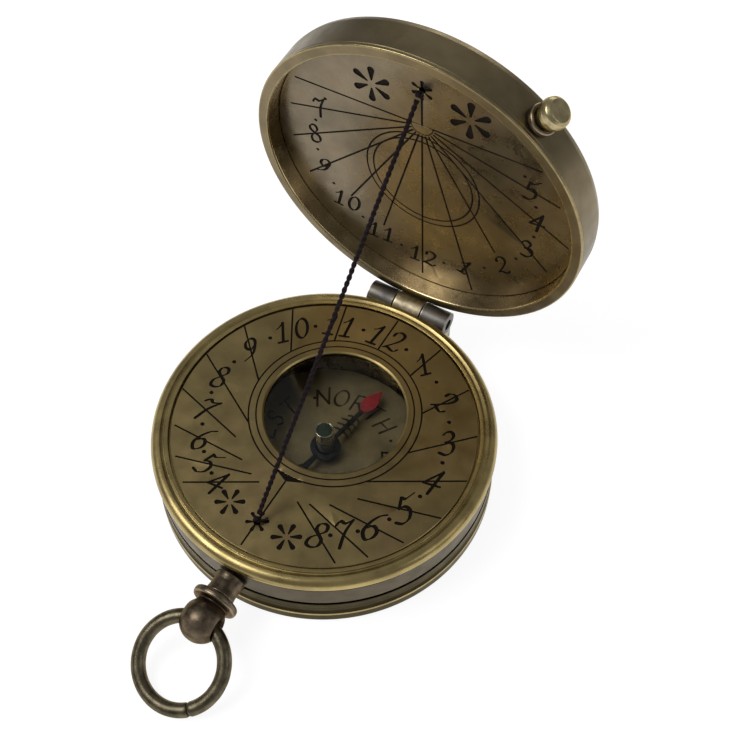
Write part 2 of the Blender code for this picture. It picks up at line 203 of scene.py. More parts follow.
def add_floor():
    bm = bmesh.new()
    bmesh.ops.create_grid(bm, x_segments=8, y_segments=8, size=1500.0)
    mat = bpy.data.materials.new("floor")
    mat.use_nodes = True
    shader = mat.node_tree.nodes["Principled BSDF"]
    for name, value in {"Base Color": (0.3, 0.3, 0.3, 1.0), "Roughness": 0.9, "Specular IOR Level": 0.1,
                        "Emission Color": (1.0, 1.0, 1.0, 1.0), "Emission Strength": 0.88}.items():
        shader.inputs[name].default_value = value
    as_object("floor", bm, [mat])


# --- Materials ---

class Nodes:
    """Short names for building a material's node tree, whose patterns are placed in mm."""

    def __init__(self, name):
        self.mat = bpy.data.materials.new(name)
        self.mat.use_nodes = True
        self.tree = self.mat.node_tree
        self.place = self.vector("SCALE", self.node("TexCoord").outputs["Object"], 1.0 / MM)

    def feed(self, node, inputs):
        """Link or set input sockets, by name or number."""
        for key, value in dict(inputs).items():
            if isinstance(value, bpy.types.NodeSocket):
                self.tree.links.new(value, node.inputs[key])
            else:
                node.inputs[key].default_value = value

    def node(self, kind, inputs=(), **settings):
        made = self.tree.nodes.new("ShaderNode" + kind)
        for name, value in settings.items():
            setattr(made, name, value)
        self.feed(made, inputs)
        return made

    def shade(self, inputs):
        self.feed(self.tree.nodes["Principled BSDF"], inputs)
        return self.mat

    def vector(self, operation, first, second):
        inputs = {0: first, "Scale" if operation == "SCALE" else 1: second}
        return self.node("VectorMath", inputs, operation=operation).outputs[0]

    def maths(self, operation, first, second, clamp=False):
        return self.node("Math", {0: first, 1: second}, operation=operation, use_clamp=clamp).outputs[0]

    def noise(self, size, detail=4.0, rough=0.5, stretch=(1.0, 1.0, 1.0), shift=0.0, place=None):
        """Noise whose features are about that many mm, longer along an axis whose stretch is under 1."""
        vector = self.vector("MULTIPLY", place or self.place, [s / size for s in stretch])
        vector = self.vector("ADD", vector, (shift, shift * 1.7, shift * 0.6))
        inputs = {"Vector": vector, "Scale": 1.0, "Detail": detail, "Roughness": rough}
        return self.node("TexNoise", inputs).outputs["Fac"]

    def turned_place(self):
        """(radius, 0, height), so that noise on it runs round the turned piece's axis."""
        split = self.node("SeparateXYZ", {0: self.place}).outputs
        flat = self.node("CombineXYZ", {X: split[X], Y: split[Y]}).outputs[0]
        radius = self.node("VectorMath", {0: flat}, operation="LENGTH").outputs["Value"]
        return self.node("CombineXYZ", {X: radius, Z: split[Z]}).outputs[0]

    def steps(self, value, low, high, out_low=0.0, out_high=1.0):
        inputs = {"Value": value, "From Min": low, "From Max": high, "To Min": out_low, "To Max": out_high}
        return self.node("MapRange", inputs, interpolation_type="SMOOTHSTEP").outputs["Result"]

    def blend(self, share, *colors):
        """Mix of two colours; a plain one has three numbers."""
        first, second = ((*c, 1.0) if isinstance(c, tuple) else c for c in colors)
        return self.node("Mix", {"Factor": share, 6: first, 7: second}, data_type="RGBA").outputs[2]

    def attribute(self, name):
        return self.node("Attribute", attribute_name=name).outputs["Fac"]

    def bump(self, *heights):
        """Normal from (height socket, depth in mm) pairs."""
        inputs = {"Strength": 1.0}
        for height, depth in heights:
            inputs.update({"Distance": depth * MM, "Height": height})
            inputs["Normal"] = self.node("Bump", inputs).outputs["Normal"]
        return inputs["Normal"]


def patinated(name, metal, tarnish, stain, bright, rough, turned=False, patch=7.0, stained=0.35,
              pitted=0.004, metallic=1.0, specked=0.25, edge_tint=(1.0, 1.0, 1.0)):
    """Aged brass or bronze: tarnish in patches, reddish stains, bright worn edges, dark corners,
    fine scratches, and turning marks on a turned piece."""
    n = Nodes(name)
    patches = n.steps(n.noise(patch, 4.0, 0.55), 0.35, 0.68)
    color = n.blend(patches, metal, tarnish)
    blush = n.steps(n.noise(patch * 0.8, 5.0, 0.65, shift=11.0), 0.52, 0.72, 0.0, stained)
    color = n.blend(blush, color, stain)
    specks = n.steps(n.noise(0.55, 3.0, 0.7, shift=5.0), 0.62, 0.74, 0.0, specked)
    color = n.blend(specks, color, tarnish)
    edge = n.attribute("edge")
    breakup = n.noise(0.8, 4.0, 0.7, shift=3.0)
    worn = n.maths("MULTIPLY", n.steps(edge, 0.1, 0.9), n.steps(breakup, 0.3, 0.6, 0.5, 1.0))
    color = n.blend(worn, color, bright)
    corner = n.steps(edge, -0.1, -0.9, 0.0, 0.75)
    color = n.blend(corner, color, tuple(0.25 * c for c in tarnish))

    smear = n.noise(3.0, 4.0, 0.5, shift=7.0)
    fine = n.noise(0.25, 3.0, 0.6, shift=9.0)
    roughness = n.steps(smear, 0.25, 0.75, rough - 0.05, rough + 0.08)
    roughness = n.maths("ADD", roughness, n.steps(fine, 0.2, 0.8, -0.03, 0.03))
    roughness = n.maths("SUBTRACT", roughness, n.maths("MULTIPLY", worn, 0.12), clamp=True)

    scratches = n.noise(0.5, 2.0, 0.5, stretch=(0.05, 1.0, 0.4), shift=2.0)
    more = n.noise(0.45, 2.0, 0.5, stretch=(1.0, 0.06, 0.5), shift=4.0)
    heights = [(n.noise(3.5, 3.0, 0.5, shift=1.0), 0.02), (n.noise(0.18, 3.0, 0.6), pitted),
               (n.steps(scratches, 0.3, 0.42), 0.0012), (n.steps(more, 0.3, 0.4), 0.0010)]
    if turned:
        heights.append((n.noise(0.12, 3.0, 0.6, place=n.turned_place()), 0.0022))
    return n.shade({"Base Color": color, "Roughness": roughness, "Metallic": metallic,
                    "Specular Tint": (*edge_tint, 1.0), "Normal": n.bump(*heights)})


def engraving_ink():
    """Blackened wax and oxide in the engraving, with brass glinting through here and there."""
    n = Nodes("engraving")
    grit = n.steps(n.noise(0.22, 3.0, 0.7), 0.6, 0.78)
    return n.shade({"Base Color": n.blend(grit, (0.009, 0.006, 0.004), (0.04, 0.028, 0.014)),
                    "Roughness": n.steps(n.noise(0.3, 2.0), 0.3, 0.7, 0.42, 0.7),
                    "Specular IOR Level": 0.08, "Normal": n.bump((n.noise(0.12, 4.0, 0.7), 0.02))})


def glass():
    n = Nodes("window_glass")
    smears = n.noise(6.0, 5.0, 0.6, stretch=(1.0, 0.35, 1.0))
    return n.shade({"Base Color": (0.90, 0.91, 0.86, 1.0), "Transmission Weight": 1.0, "IOR": 1.25,
                    "Roughness": n.steps(smears, 0.35, 0.75, 0.0, 0.03)})


def lacquer(name, light, dark, rough, coat):
    """Painted metal with thin worn spots."""
    n = Nodes(name)
    worn = n.steps(n.noise(0.9, 5.0, 0.65), 0.45, 0.75)
    return n.shade({"Base Color": n.blend(worn, light, dark), "Metallic": 0.0, "Specular IOR Level": 0.2,
                    "Roughness": n.steps(n.noise(0.5, 4.0), 0.3, 0.7, rough - 0.06, rough + 0.1),
                    "Coat Weight": coat, "Coat Roughness": 0.15,
                    "Normal": n.bump((n.noise(0.3, 4.0, 0.6), 0.006))})


def twisted_cord():
    """Waxed dark thread: fine fibres along each ply, with lighter lint."""
    n = Nodes("dark_cord")
    fibre = n.noise(0.10, 4.0, 0.7, stretch=(1.0, 0.35, 0.35))
    color = n.blend(n.steps(fibre, 0.3, 0.7), (0.008, 0.005, 0.006), (0.026, 0.015, 0.018))
    lint = n.steps(n.noise(0.35, 3.0, 0.7, shift=6.0), 0.62, 0.75, 0.0, 0.6)
    return n.shade({"Base Color": n.blend(lint, color, (0.055, 0.036, 0.040)),
                    "Roughness": n.steps(fibre, 0.2, 0.8, 0.55, 0.9),
                    "Specular IOR Level": 0.12, "Normal": n.bump((fibre, 0.05))})


KHAKI = (0.38, 0.285, 0.125)
OLIVE = (0.16, 0.125, 0.06)
UMBER = (0.085, 0.062, 0.034)
GOLD = (0.55, 0.41, 0.18)
BLUSH = (0.35, 0.215, 0.125)

DIAL = patinated("dial_brass", KHAKI, (0.295, 0.225, 0.10), BLUSH, GOLD, 0.34, patch=9.0)
LID_DIAL = patinated("lid_dial_brass", (0.225, 0.18, 0.118), (0.155, 0.126, 0.084), (0.225, 0.156, 0.105),
                     GOLD, 0.29, patch=11.0, specked=0.0)
CARD = patinated("compass_card", (0.235, 0.188, 0.106), (0.165, 0.134, 0.078), UMBER, GOLD, 0.5, patch=8.0)
AGED = patinated("aged_brass", (0.228, 0.178, 0.098), (0.175, 0.137, 0.077), OLIVE, (0.38, 0.30, 0.15),
                 0.38, turned=True, specked=0.1)
# Much brighter brass for the lid's inside faces: partly a more polished inside, partly painted golden sheen
# standing for light reflected within the lid.
INNER_POLISH_AND_SHEEN = patinated("inner_brass_polish_and_sheen", (0.80, 0.67, 0.42), (0.60, 0.50, 0.32), (0.40, 0.31, 0.18),
                  (0.70, 0.57, 0.32), 0.24, turned=True, specked=0.1)
CENTRE = patinated("centre_brass", (0.47, 0.40, 0.27), (0.26, 0.22, 0.145), (0.24, 0.18, 0.11),
                   (0.60, 0.51, 0.34), 0.42, patch=1.3, turned=True, stained=0.6, pitted=0.02)
COVER = patinated("cover_brass", (0.029, 0.0222, 0.0115), (0.0165, 0.0127, 0.0067), (0.05, 0.03, 0.0145),
                  (0.10, 0.08, 0.045), 0.28, turned=True, patch=5.0, edge_tint=(0.80, 0.75, 0.64))
SATIN = patinated("satin_brass", (0.075, 0.059, 0.039), (0.058, 0.0455, 0.030), UMBER, (0.14, 0.11, 0.063),
                  0.34, turned=True, edge_tint=(0.95, 0.91, 0.82))
POLISHED = patinated("polished_brass", (0.48, 0.37, 0.155), (0.32, 0.246, 0.104), OLIVE, (0.56, 0.44, 0.19),
                     0.31, turned=True, stained=0.2, pitted=0.0015)
KNOB = patinated("knob_brass", (0.52, 0.43, 0.24), (0.33, 0.275, 0.15), OLIVE, (0.52, 0.43, 0.24), 0.31,
                 turned=True, stained=0.4, patch=1.6, edge_tint=(0.70, 0.62, 0.44))
COLLAR = patinated("collar_brass", (0.14, 0.11, 0.07), (0.08, 0.063, 0.04), UMBER, (0.34, 0.28, 0.19), 0.36,
                   turned=True, stained=0.3, patch=2.0)
BRONZE = patinated("dark_bronze", (0.19, 0.148, 0.10), (0.072, 0.056, 0.038), (0.155, 0.094, 0.054),
                   (0.34, 0.275, 0.19), 0.34, patch=1.8, pitted=0.02, stained=0.45,
                   edge_tint=(0.62, 0.55, 0.47))
BOW = patinated("bow_bronze", (0.17, 0.145, 0.094), (0.088, 0.074, 0.048), (0.13, 0.09, 0.051),
                (0.38, 0.325, 0.22), 0.33, patch=1.5, pitted=0.02, stained=0.4,
                edge_tint=(0.72, 0.66, 0.55))
GUNMETAL = patinated("gunmetal", (0.165, 0.152, 0.135), (0.10, 0.093, 0.083), (0.14, 0.115, 0.08),
                     (0.34, 0.31, 0.27), 0.42, patch=3.0)
STEEL = patinated("bright_steel", (0.56, 0.56, 0.54), (0.36, 0.35, 0.33), (0.30, 0.24, 0.16),
                  (0.8, 0.8, 0.78), 0.24, patch=2.0)
HUB = patinated("hub_brass", (0.62, 0.60, 0.48), (0.36, 0.34, 0.26), (0.26, 0.23, 0.15),
                (0.80, 0.78, 0.62), 0.20, patch=1.6, turned=True)
BLUED = patinated("blued_steel", (0.022, 0.025, 0.03), (0.010, 0.011, 0.014), (0.03, 0.022, 0.02),
                  (0.10, 0.11, 0.13), 0.34, patch=1.5, metallic=0.9)
INK = engraving_ink()
GLASS = glass()
GREEN = lacquer("green_cap", (0.006, 0.016, 0.010), (0.004, 0.009, 0.006), 0.36, 0.02)
RED = lacquer("red_arrow", (0.19, 0.004, 0.010), (0.10, 0.003, 0.006), 0.6, 0.0)
CORD = twisted_cord()


# --- Mesh making ---

def as_object(name, bm, materials, place=None, sharp=30.0):
    """Finish a mesh made in mm: scaled to metres, smooth shaded and placed."""
    bmesh.ops.recalc_face_normals(bm, faces=bm.faces)
    mesh = bpy.data.meshes.new(name)
    bm.to_mesh(mesh)
    bm.free()
    mesh.transform(Matrix.Scale(MM, 4))
    for mat in materials:
        mesh.materials.append(mat)
    smooth(mesh, sharp)
    obj = bpy.data.objects.new(name, mesh)
    bpy.context.scene.collection.objects.link(obj)
    if place is not None:
        obj.matrix_world = in_metres(place)
    return obj


def polar(angle, radius=1.0):
    """Point at an angle clockwise from +Y."""
    return radius * np.array((math.sin(angle), math.cos(angle)))


def in_metres(place):
    moved = place.copy()
    moved.translation = place.translation * MM
    return moved


def smooth(mesh, sharp):
    mesh.shade_smooth()
    mesh.set_sharp_from_angle(angle=math.radians(sharp))


def stand_for(piece, body, slot, *nodes):
    """Put a finished piece on its body in place of CAD nodes."""
    if nodes:
        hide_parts(*nodes)
    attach(piece, body)
    return piece


def frame_along(origin, axis):
    """Matrix that takes local Z to the axis, at an origin in mm."""
    turn = Vector((0.0, 0.0, 1.0)).rotation_difference(Vector(axis).normalized())
    return Matrix.Translation(Vector(origin)) @ turn.to_matrix().to_4x4()


def filleted(points, closed):
    """Round each profile corner that has a third value, its radius."""
    result = []
    count = len(points)
    for i, point in enumerate(points):
        here = Vector(point[:2])
        radius = point[2] if len(point) > 2 else 0.0
        if radius <= 0.0 or (not closed and i in (0, count - 1)):
            result.append(here)
            continue
        back = Vector(points[i - 1][:2]) - here
        on = Vector(points[(i + 1) % count][:2]) - here
        room = 0.48 * min(back.length, on.length)
        back.normalize()
        on.normalize()
        half = back.angle(on) / 2.0
        if half > math.radians(88.0):
            result.append(here)
            continue
        reach = min(radius / math.tan(half), room)
        radius = reach * math.tan(half)
        centre = here + (back + on).normalized() * (radius / math.sin(half))
        first, last = here + back * reach - centre, here + on * reach - centre
        turn = math.pi - 2.0 * half
        steps = max(2, math.ceil(math.degrees(turn) / 15.0))
        for s in range(steps + 1):
            t = s / steps
            mixed = first * math.sin((1.0 - t) * turn) + last * math.sin(t * turn)
            result.append(centre + mixed / math.sin(turn))
    return result


def with_supports(points, closed):
    """Add a point near each end of a long straight run, so that edge wear stays narrow."""
    reach = 0.25
    result = []
    count = len(points)
    for i in range(count):
        here = points[i]
        result.append(here)
        if i == count - 1 and not closed:
            break
        run = points[(i + 1) % count] - here
        if run.length > 3.0 * reach:
            end = run.normalized() * reach
            result += [here + end, here + run - end]
    return result


def bend_at(points, closed):
    """How sharply the profile turns at each point: 1 at a crisp outer edge, -1 in a crisp corner."""
    count = len(points)
    area = sum(a.x * b.y - b.x * a.y for a, b in zip(points, points[1:] + points[:1]))
    bends = []
    for i in range(count):
        if not closed and i in (0, count - 1):
            bends.append(0.0)
            continue
        back = points[i] - points[i - 1]
        on = points[(i + 1) % count] - points[i]
        turn = math.atan2(back.x * on.y - back.y * on.x, back.dot(on)) * math.copysign(1.0, area)
        width = max(0.1, min(back.length, on.length))
        bends.append(max(-1.0, min(1.0, 0.3 * turn / width)))
    return bends


def lathe(name, profile, material, closed=False, steps=ROUND, place=None):
    """Turn a profile of (radius, height[, corner radius]) points about local Z."""
    points = with_supports(filleted(profile, closed), closed)
    bm = bmesh.new()
    edge = bm.verts.layers.float.new("edge")
    rings = []
    for point, bend in zip(points, bend_at(points, closed)):
        ring = []
        for i in range(steps if point.x > 1e-6 else 1):
            a = 2.0 * math.pi * i / steps
            vert = bm.verts.new((point.x * math.cos(a), point.x * math.sin(a), point.y))
            vert[edge] = bend
            ring.append(vert)
        rings.append(ring)
    pairs = list(zip(rings, rings[1:]))
    if closed:
        pairs.append((rings[-1], rings[0]))
    for one, two in pairs:
        for i in range(steps):
            j = (i + 1) % steps
            corners = [one[i % len(one)], one[j % len(one)], two[j % len(two)], two[i % len(two)]]
            corners = list(dict.fromkeys(corners))
            if len(corners) > 2:
                bm.faces.new(corners)
    return as_object(name, bm, [material], place)


def turned(name, profile, material, body, slot, node, **options):
    """Turn a piece and put it on its body in place of a CAD node."""
    stand_for(lathe(name, profile, material, **options), body, slot, node)


def round_arc(centre_r, centre_z, radius, start_deg, end_deg, count=12):
    """Points of a round edge in a profile."""
    angles = [math.radians(start_deg + (end_deg - start_deg) * i / count) for i in range(count + 1)]
    return [(centre_r + radius * math.cos(a), centre_z + radius * math.sin(a)) for a in angles]


def groove(radius, z):
    """Fine line turned into a wall, as points of a profile that runs down it."""
    return [(radius, z + 0.1, 0.05), (radius - 0.1, z, 0.04), (radius, z - 0.1, 0.05)]


def carve(piece, tool, operation="DIFFERENCE"):
    """Cut a piece with a tool, or join them, and drop the tool."""
    mod = piece.modifiers.new("carve", "BOOLEAN")
    mod.operation = operation
    mod.solver = "EXACT"
    mod.object = tool
    settle(piece)
    bpy.data.objects.remove(tool)
    smooth(piece.data, 30.0)
    return piece


def soften(piece, width, segments, limit, sharp):
    """Bevel the edges that turn by more than the limit, and smooth the piece again."""
    bevel = piece.modifiers.new("soften", "BEVEL")
    bevel.width = width * MM
    bevel.segments = segments
    bevel.limit_method = "ANGLE"
    bevel.angle_limit = math.radians(limit)
    settle(piece)
    smooth(piece.data, sharp)


def settle(piece):
    """Turn a piece's modifiers into its mesh."""
    bpy.context.view_layer.update()
    mesh = bpy.data.meshes.new_from_object(piece.evaluated_get(bpy.context.evaluated_depsgraph_get()))
    piece.modifiers.clear()
    piece.data = mesh


def rod_x(name, radius, x_low, x_high, material, edge=0.0, steps=SMALL):
    """Rod along X on the hinge axis, with rounded ends."""
    profile = [(0.0, x_high), (radius, x_high, edge), (radius, x_low, edge), (0.0, x_low)]
    place = frame_along((0.0, HINGE.y, HINGE.z), (1.0, 0.0, 0.0))
    return lathe(name, profile, material, steps=steps, place=place)


def tube(bm, path, radii, sides, closed=False):
    """Sweep a circle along a path of points; open ends are capped."""
    count = len(path)
    normal = None
    rings = []
    for i, point in enumerate(path):
        before = path[i - 1] if closed or i else path[0]
        after = path[(i + 1) % count] if closed or i < count - 1 else path[-1]
        tangent = (after - before).normalized()
        if normal is None:
            normal = tangent.orthogonal().normalized()
        normal = (normal - tangent * normal.dot(tangent)).normalized()
        other = tangent.cross(normal)
        ring = []
        for s in range(sides):
            a = 2.0 * math.pi * s / sides
            ring.append(bm.verts.new(point + (normal * math.cos(a) + other * math.sin(a)) * radii[i]))
        rings.append(ring)
    pairs = list(zip(rings, rings[1:]))
    if closed:      # the last ring joins the first, turned to its nearest point
        shift = min(range(sides), key=lambda k: (rings[-1][0].co - rings[0][k].co).length)
        pairs.append((rings[-1], rings[0][shift:] + rings[0][:shift]))
    for one, two in pairs:
        for s in range(sides):
            t = (s + 1) % sides
            bm.faces.new((one[s], one[t], two[t], two[s]))
    if not closed:
        bm.faces.new(rings[0])
        bm.faces.new(list(reversed(rings[-1])))


# --- String gnomon ---

def knot_mesh(name, centre, axis, tail):
    """Overhand knot pulled tight, with its short end lying out over the plate."""
    bm = bmesh.new()
    count, scale = 90, 0.17
    cord_r, uneven, tail_r, tip_r = 0.27, 0.03, 0.2, 0.12
    place = frame_along(centre, axis)
    path = []
    for i in range(count):
        t = 2.0 * math.pi * i / count
        point = Vector((math.sin(t) + 2.0 * math.sin(2.0 * t), math.cos(t) - 2.0 * math.cos(2.0 * t),
                        -1.2 * math.sin(3.0 * t)))
        path.append(place @ (point * scale))
    tube(bm, path, [cord_r + uneven * math.sin(9.0 * i) for i in range(count)], 10, closed=True)
    end = [place @ Vector(p) for p in tail]
    tube(bm, end, [tail_r] * (len(end) - 1) + [tip_r], 8)
    return as_object(name, bm, [CORD], sharp=60.0)


def add_string():
    lower = Vector((0.0, ANCHOR_Y, PLATE_TOP + KNOT_GAP + KNOT_R))
    upper = SHUT_TO_OPEN @ Vector((0.0, -LID_ANCHOR, LID_PLATE - KNOT_GAP - KNOT_R))
    run = (upper - lower).normalized()
    first = lower + run * (KNOT_R + KNOT_GAP)
    last = upper - run * (KNOT_R + KNOT_GAP)
    length = (last - first).length
    across = run.orthogonal().normalized()
    other = run.cross(across)

    ply_r = 0.235
    twist = 2.1
    count = int(length / 0.11)
    bm = bmesh.new()
    for ply in range(2):
        path, radii = [], []
        for i in range(count + 1):
            s = length * i / count
            a = 2.0 * math.pi * s / twist + math.pi * ply
            wander = 0.10 * noise.noise(Vector((s * 0.35, ply * 9.0, 0.0)))
            reach = STRING_D / 2.0 - ply_r + 0.02 * noise.noise(Vector((s * 1.3, 4.0, ply * 5.0)))
            aside = across * (math.cos(a) * reach + wander) + other * math.sin(a) * reach
            path.append(first + run * s + aside)
            radii.append(ply_r * (1.0 + 0.10 * noise.noise(Vector((s * 0.9, 2.0, ply * 7.0)))))
        tube(bm, path, radii, 10)
    string = as_object("string", bm, [CORD], sharp=60.0)

    base_tail = [(0.5, 0.0, 0.0), (0.9, 0.3, 0.1), (1.2, 0.7, 0.3), (1.3, 1.2, 0.6)]
    knots = [knot_mesh("knot_at_base", lower, run, base_tail),
             knot_mesh("knot_at_lid", upper, run, [(0.4, -0.2, 0.0), (0.7, -0.6, 0.2), (0.8, -1.1, 0.5)])]
    stand_for(knots[0], "case", "cord", "string_knot_lower")
    stand_for(knots[1], "lid", "cord", "string_knot_upper")
    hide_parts("gnomon_string")
    path = [(first + run * length * i / 20) * MM for i in range(21)]
    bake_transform(string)


# --- Engraving ---

def smooth_path(points, closed):
    """Curve through points; two points stay a straight line."""
    per_span = 6
    points = [np.array(p, float) for p in points]
    if len(points) == 2:
        return np.array(points)
    if closed:
        padded = points[-1:] + points + points[:2]
    else:
        padded = [2.0 * points[0] - points[1], *points, 2.0 * points[-1] - points[-2]]
    result = []
    for a, b, c, d in zip(padded, padded[1:], padded[2:], padded[3:]):
        for s in range(per_span):
            t = s / per_span
            result.append(0.5 * (2.0 * b + (c - a) * t + (2.0 * a - 5.0 * b + 4.0 * c - d) * t ** 2
                                 + (3.0 * b - a - 3.0 * c + d) * t ** 3))
    if not closed:
        result.append(points[-1])
    return np.array(result)


def oval(x, y, half_width, half_height, count=12):
    angles = [2.0 * math.pi * i / count for i in range(count)]
    return [(x + half_width * math.cos(a), y + half_height * math.sin(a)) for a in angles]


# Strokes of each character in hundredths of its height; 0, O and 8 are closed loops.
CHARACTERS = {
    "1": "2,72 16,82 30,100; 30,100 30,0; 10,0 50,0",
    "2": "6,74 10,92 28,100 48,88 46,62 26,32 0,3; 0,3 16,10 34,2 50,0 60,13",
    "3": "4,86 16,98 34,98 44,82 36,64 18,54; 18,54 38,52 50,34 44,10 24,0 0,10",
    "4": "42,100 0,33; 0,33 62,37; 42,100 38,-5",
    "5": "14,96 8,56; 14,96 28,91 42,99 58,110; 8,56 28,62 46,46 44,16 24,0 0,5",
    "6": "54,104 32,92 12,60 6,26 24,0 44,12 48,36 30,54 10,40",
    "7": "0,82 13,98 32,89 56,100; 56,100 34,56 24,0",
    "8": "27,54 44,72 41,93 26,100 11,92 10,73 27,54 47,34 45,9 25,0 5,9 6,34",
    "9": "45,64 28,46 9,60 9,86 28,100 45,88 46,60 36,22 4,-4",
    "A": "-8,0 30,100; 30,100 60,0; 6,36 48,36",
    "E": "4,0 4,100; 4,100 54,100; 4,52 42,52; 4,0 56,0",
    "H": "-4,0 -4,100; 54,0 58,100; -4,50 56,50",
    "N": "-10,0 -6,100; -6,100 56,0; 56,0 62,100",
    "R": "0,0 0,100; 0,100 36,100 52,78 38,54 0,50; 24,52 60,0",
    "S": "48,86 28,100 8,84 14,60 40,42 46,18 26,0 4,14",
    "T": "-8,97 62,100; 27,100 27,0",
    "U": "0,100 0,26 27,0 54,26 56,100",
    "W": "-12,100 8,0; 8,0 28,80; 28,80 46,0; 46,0 68,100",
}
CHARACTERS = {character: [[[int(n) / 100 for n in point.split(",")] for point in stroke.split()]
                          for stroke in strokes.split(";")] for character, strokes in CHARACTERS.items()}
CHARACTERS["0"] = [oval(0.29, 0.5, 0.25, 0.5)]
CHARACTERS["O"] = [oval(0.27, 0.5, 0.37, 0.5)]
SLANT = 0.2                 # how far a character leans over its height
NIB_ANGLE = math.radians(35.0)


class Engraving:
    """Tapered round-ended strokes sunk into a flat plate, in the plate's own plane."""

    def __init__(self, depth=0.14, slope=0.07):
        self.depth = depth
        self.slope = slope
        self.strokes = []

    def stroke(self, points, half, closed=False):
        points = np.array(points, float)
        half = np.broadcast_to(np.array(half, float), (len(points),)).copy()
        self.strokes.append((points, half, closed))

    def line(self, start, end, half):
        self.stroke([start, end], half)

    def circle(self, centre, radius, half):
        self.stroke(oval(*centre, radius, radius, 180), half, closed=True)

    def dot(self, centre, radius):
        x, y = centre
        self.stroke([(x - 0.02, y), (x + 0.02, y)], radius)

    def petals(self, centre, radius, fat=0.17):
        """Six-petalled flower of punched teardrops, their ends that share of the radius in half width."""
        tip = fat * radius
        for i in range(6):
            ends = [polar(math.radians(60.0 * i), r) + centre for r in (0.26 * radius, radius - tip)]
            self.stroke(ends, [0.05 * radius, tip])

    def dots_between(self, spots, centre, circle_r, radius):
        """A dot on the chapter circle midway between each two neighbours."""
        for one, two in zip(spots, spots[1:]):
            out = one + two - 2.0 * centre
            self.dot(centre + circle_r * out / np.linalg.norm(out), radius)

    def write(self, text, centre, height, lean, gap=0.0, bold=1.0):
        """Characters round a centre point, their tops leaning clockwise by that many degrees."""
        advance = 0.62
        a = math.radians(lean) - math.atan(SLANT)
        up = polar(a)
        right = np.array((up[1], -up[0]))
        total = advance * len(text) + gap * (len(text) - 1) - 0.08
        for i, character in enumerate(text):
            start = i * (advance + gap) - total / 2.0
            for stroke in CHARACTERS[character]:
                closed = character in "0O8"
                cell = smooth_path(stroke, closed)
                x = start + cell[:, 0] + SLANT * (cell[:, 1] - 0.5)
                y = cell[:, 1] - 0.5
                path = centre + height * (x[:, None] * right + y[:, None] * up)
                self.stroke(path, self.nib(cell, closed) * height * bold, closed)

    @staticmethod
    def nib(cell, closed):
        """Half width of a broad pen along a character's stroke."""
        run = np.roll(cell, -1, 0) - np.roll(cell, 1, 0)
        if not closed:
            run[0], run[-1] = cell[1] - cell[0], cell[-1] - cell[-2]
        angle = np.arctan2(run[:, 1], run[:, 0])
        return 0.5 * (0.046 + 0.094 * np.abs(np.sin(angle - NIB_ANGLE)))

    def depth_at(self, points):
        """Depth in mm below the plate's face at each point."""
        sunk = np.zeros(len(points))
        for path, half, closed in self.strokes:
            if closed:
                path, half = np.vstack([path, path[:1]]), np.append(half, half[0])
            reach = half.max()
            near = np.all((points >= path.min(0) - reach) & (points <= path.max(0) + reach), axis=1)
            near = np.nonzero(near)[0]
            start, run = path[:-1], np.diff(path, axis=0)
            square = np.maximum((run ** 2).sum(1), 1e-12)
            for block in np.array_split(near, max(1, len(near) * len(run) // 2000000)):
                away = points[block][:, None] - start
                t = np.clip((away * run).sum(2) / square, 0.0, 1.0)
                gap = np.linalg.norm(away - run * t[..., None], axis=2)
                inside = (half[:-1] + np.diff(half) * t - gap) / self.slope
                sunk[block] = np.maximum(sunk[block], np.clip(inside, 0.0, 1.0).max(1))
        return sunk * self.depth

    def outlines(self):
        """Closed loops along the top and the foot of every stroke's sloping side."""
        loops = []
        for path, half, closed in self.strokes:
            for inset in (0.0, self.slope):
                width = np.maximum(half - inset, 0.012)
                loops += offset_loops(path, width, closed)
        return loops


def offset_loops(path, width, closed):
    """Loops at a distance on both sides of a path, joined by round ends where it is open."""
    if closed:
        run = np.roll(path, -1, 0) - np.roll(path, 1, 0)
    else:
        run = np.gradient(path, axis=0)
    run /= np.maximum(np.linalg.norm(run, axis=1), 1e-9)[:, None]
    normal = np.stack([-run[:, 1], run[:, 0]], 1)
    left, right = path + normal * width[:, None], path - normal * width[:, None]
    if closed:
        return [left, right]
    caps = []
    for end, sign in ((-1, 1.0), (0, -1.0)):
        steps = 7 if width[end] > 0.08 else 3
        angles = [math.pi * i / steps for i in range(1, steps)]
        caps.append([path[end] + sign * width[end] * (normal[end] * math.cos(a) + run[end] * math.sin(a))
                     for a in angles])
    return [np.vstack([left, caps[0], right[::-1], caps[1]])]


def triangulate(loops, epsilon):
    """Flat points and triangles that follow closed loops."""
    points = [Vector(p) for loop in loops for p in loop]
    edges, start = [], 0
    for loop in loops:
        count = len(loop)
        edges += [(start + i, start + (i + 1) % count) for i in range(count)]
        start += count
    verts, _, faces, _, _, _ = delaunay_2d_cdt(points, edges, [], 0, epsilon)
    return np.array([tuple(v) for v in verts]), faces


def drop_loose(bm):
    for vert in [v for v in bm.verts if not v.link_faces]:
        bm.verts.remove(vert)


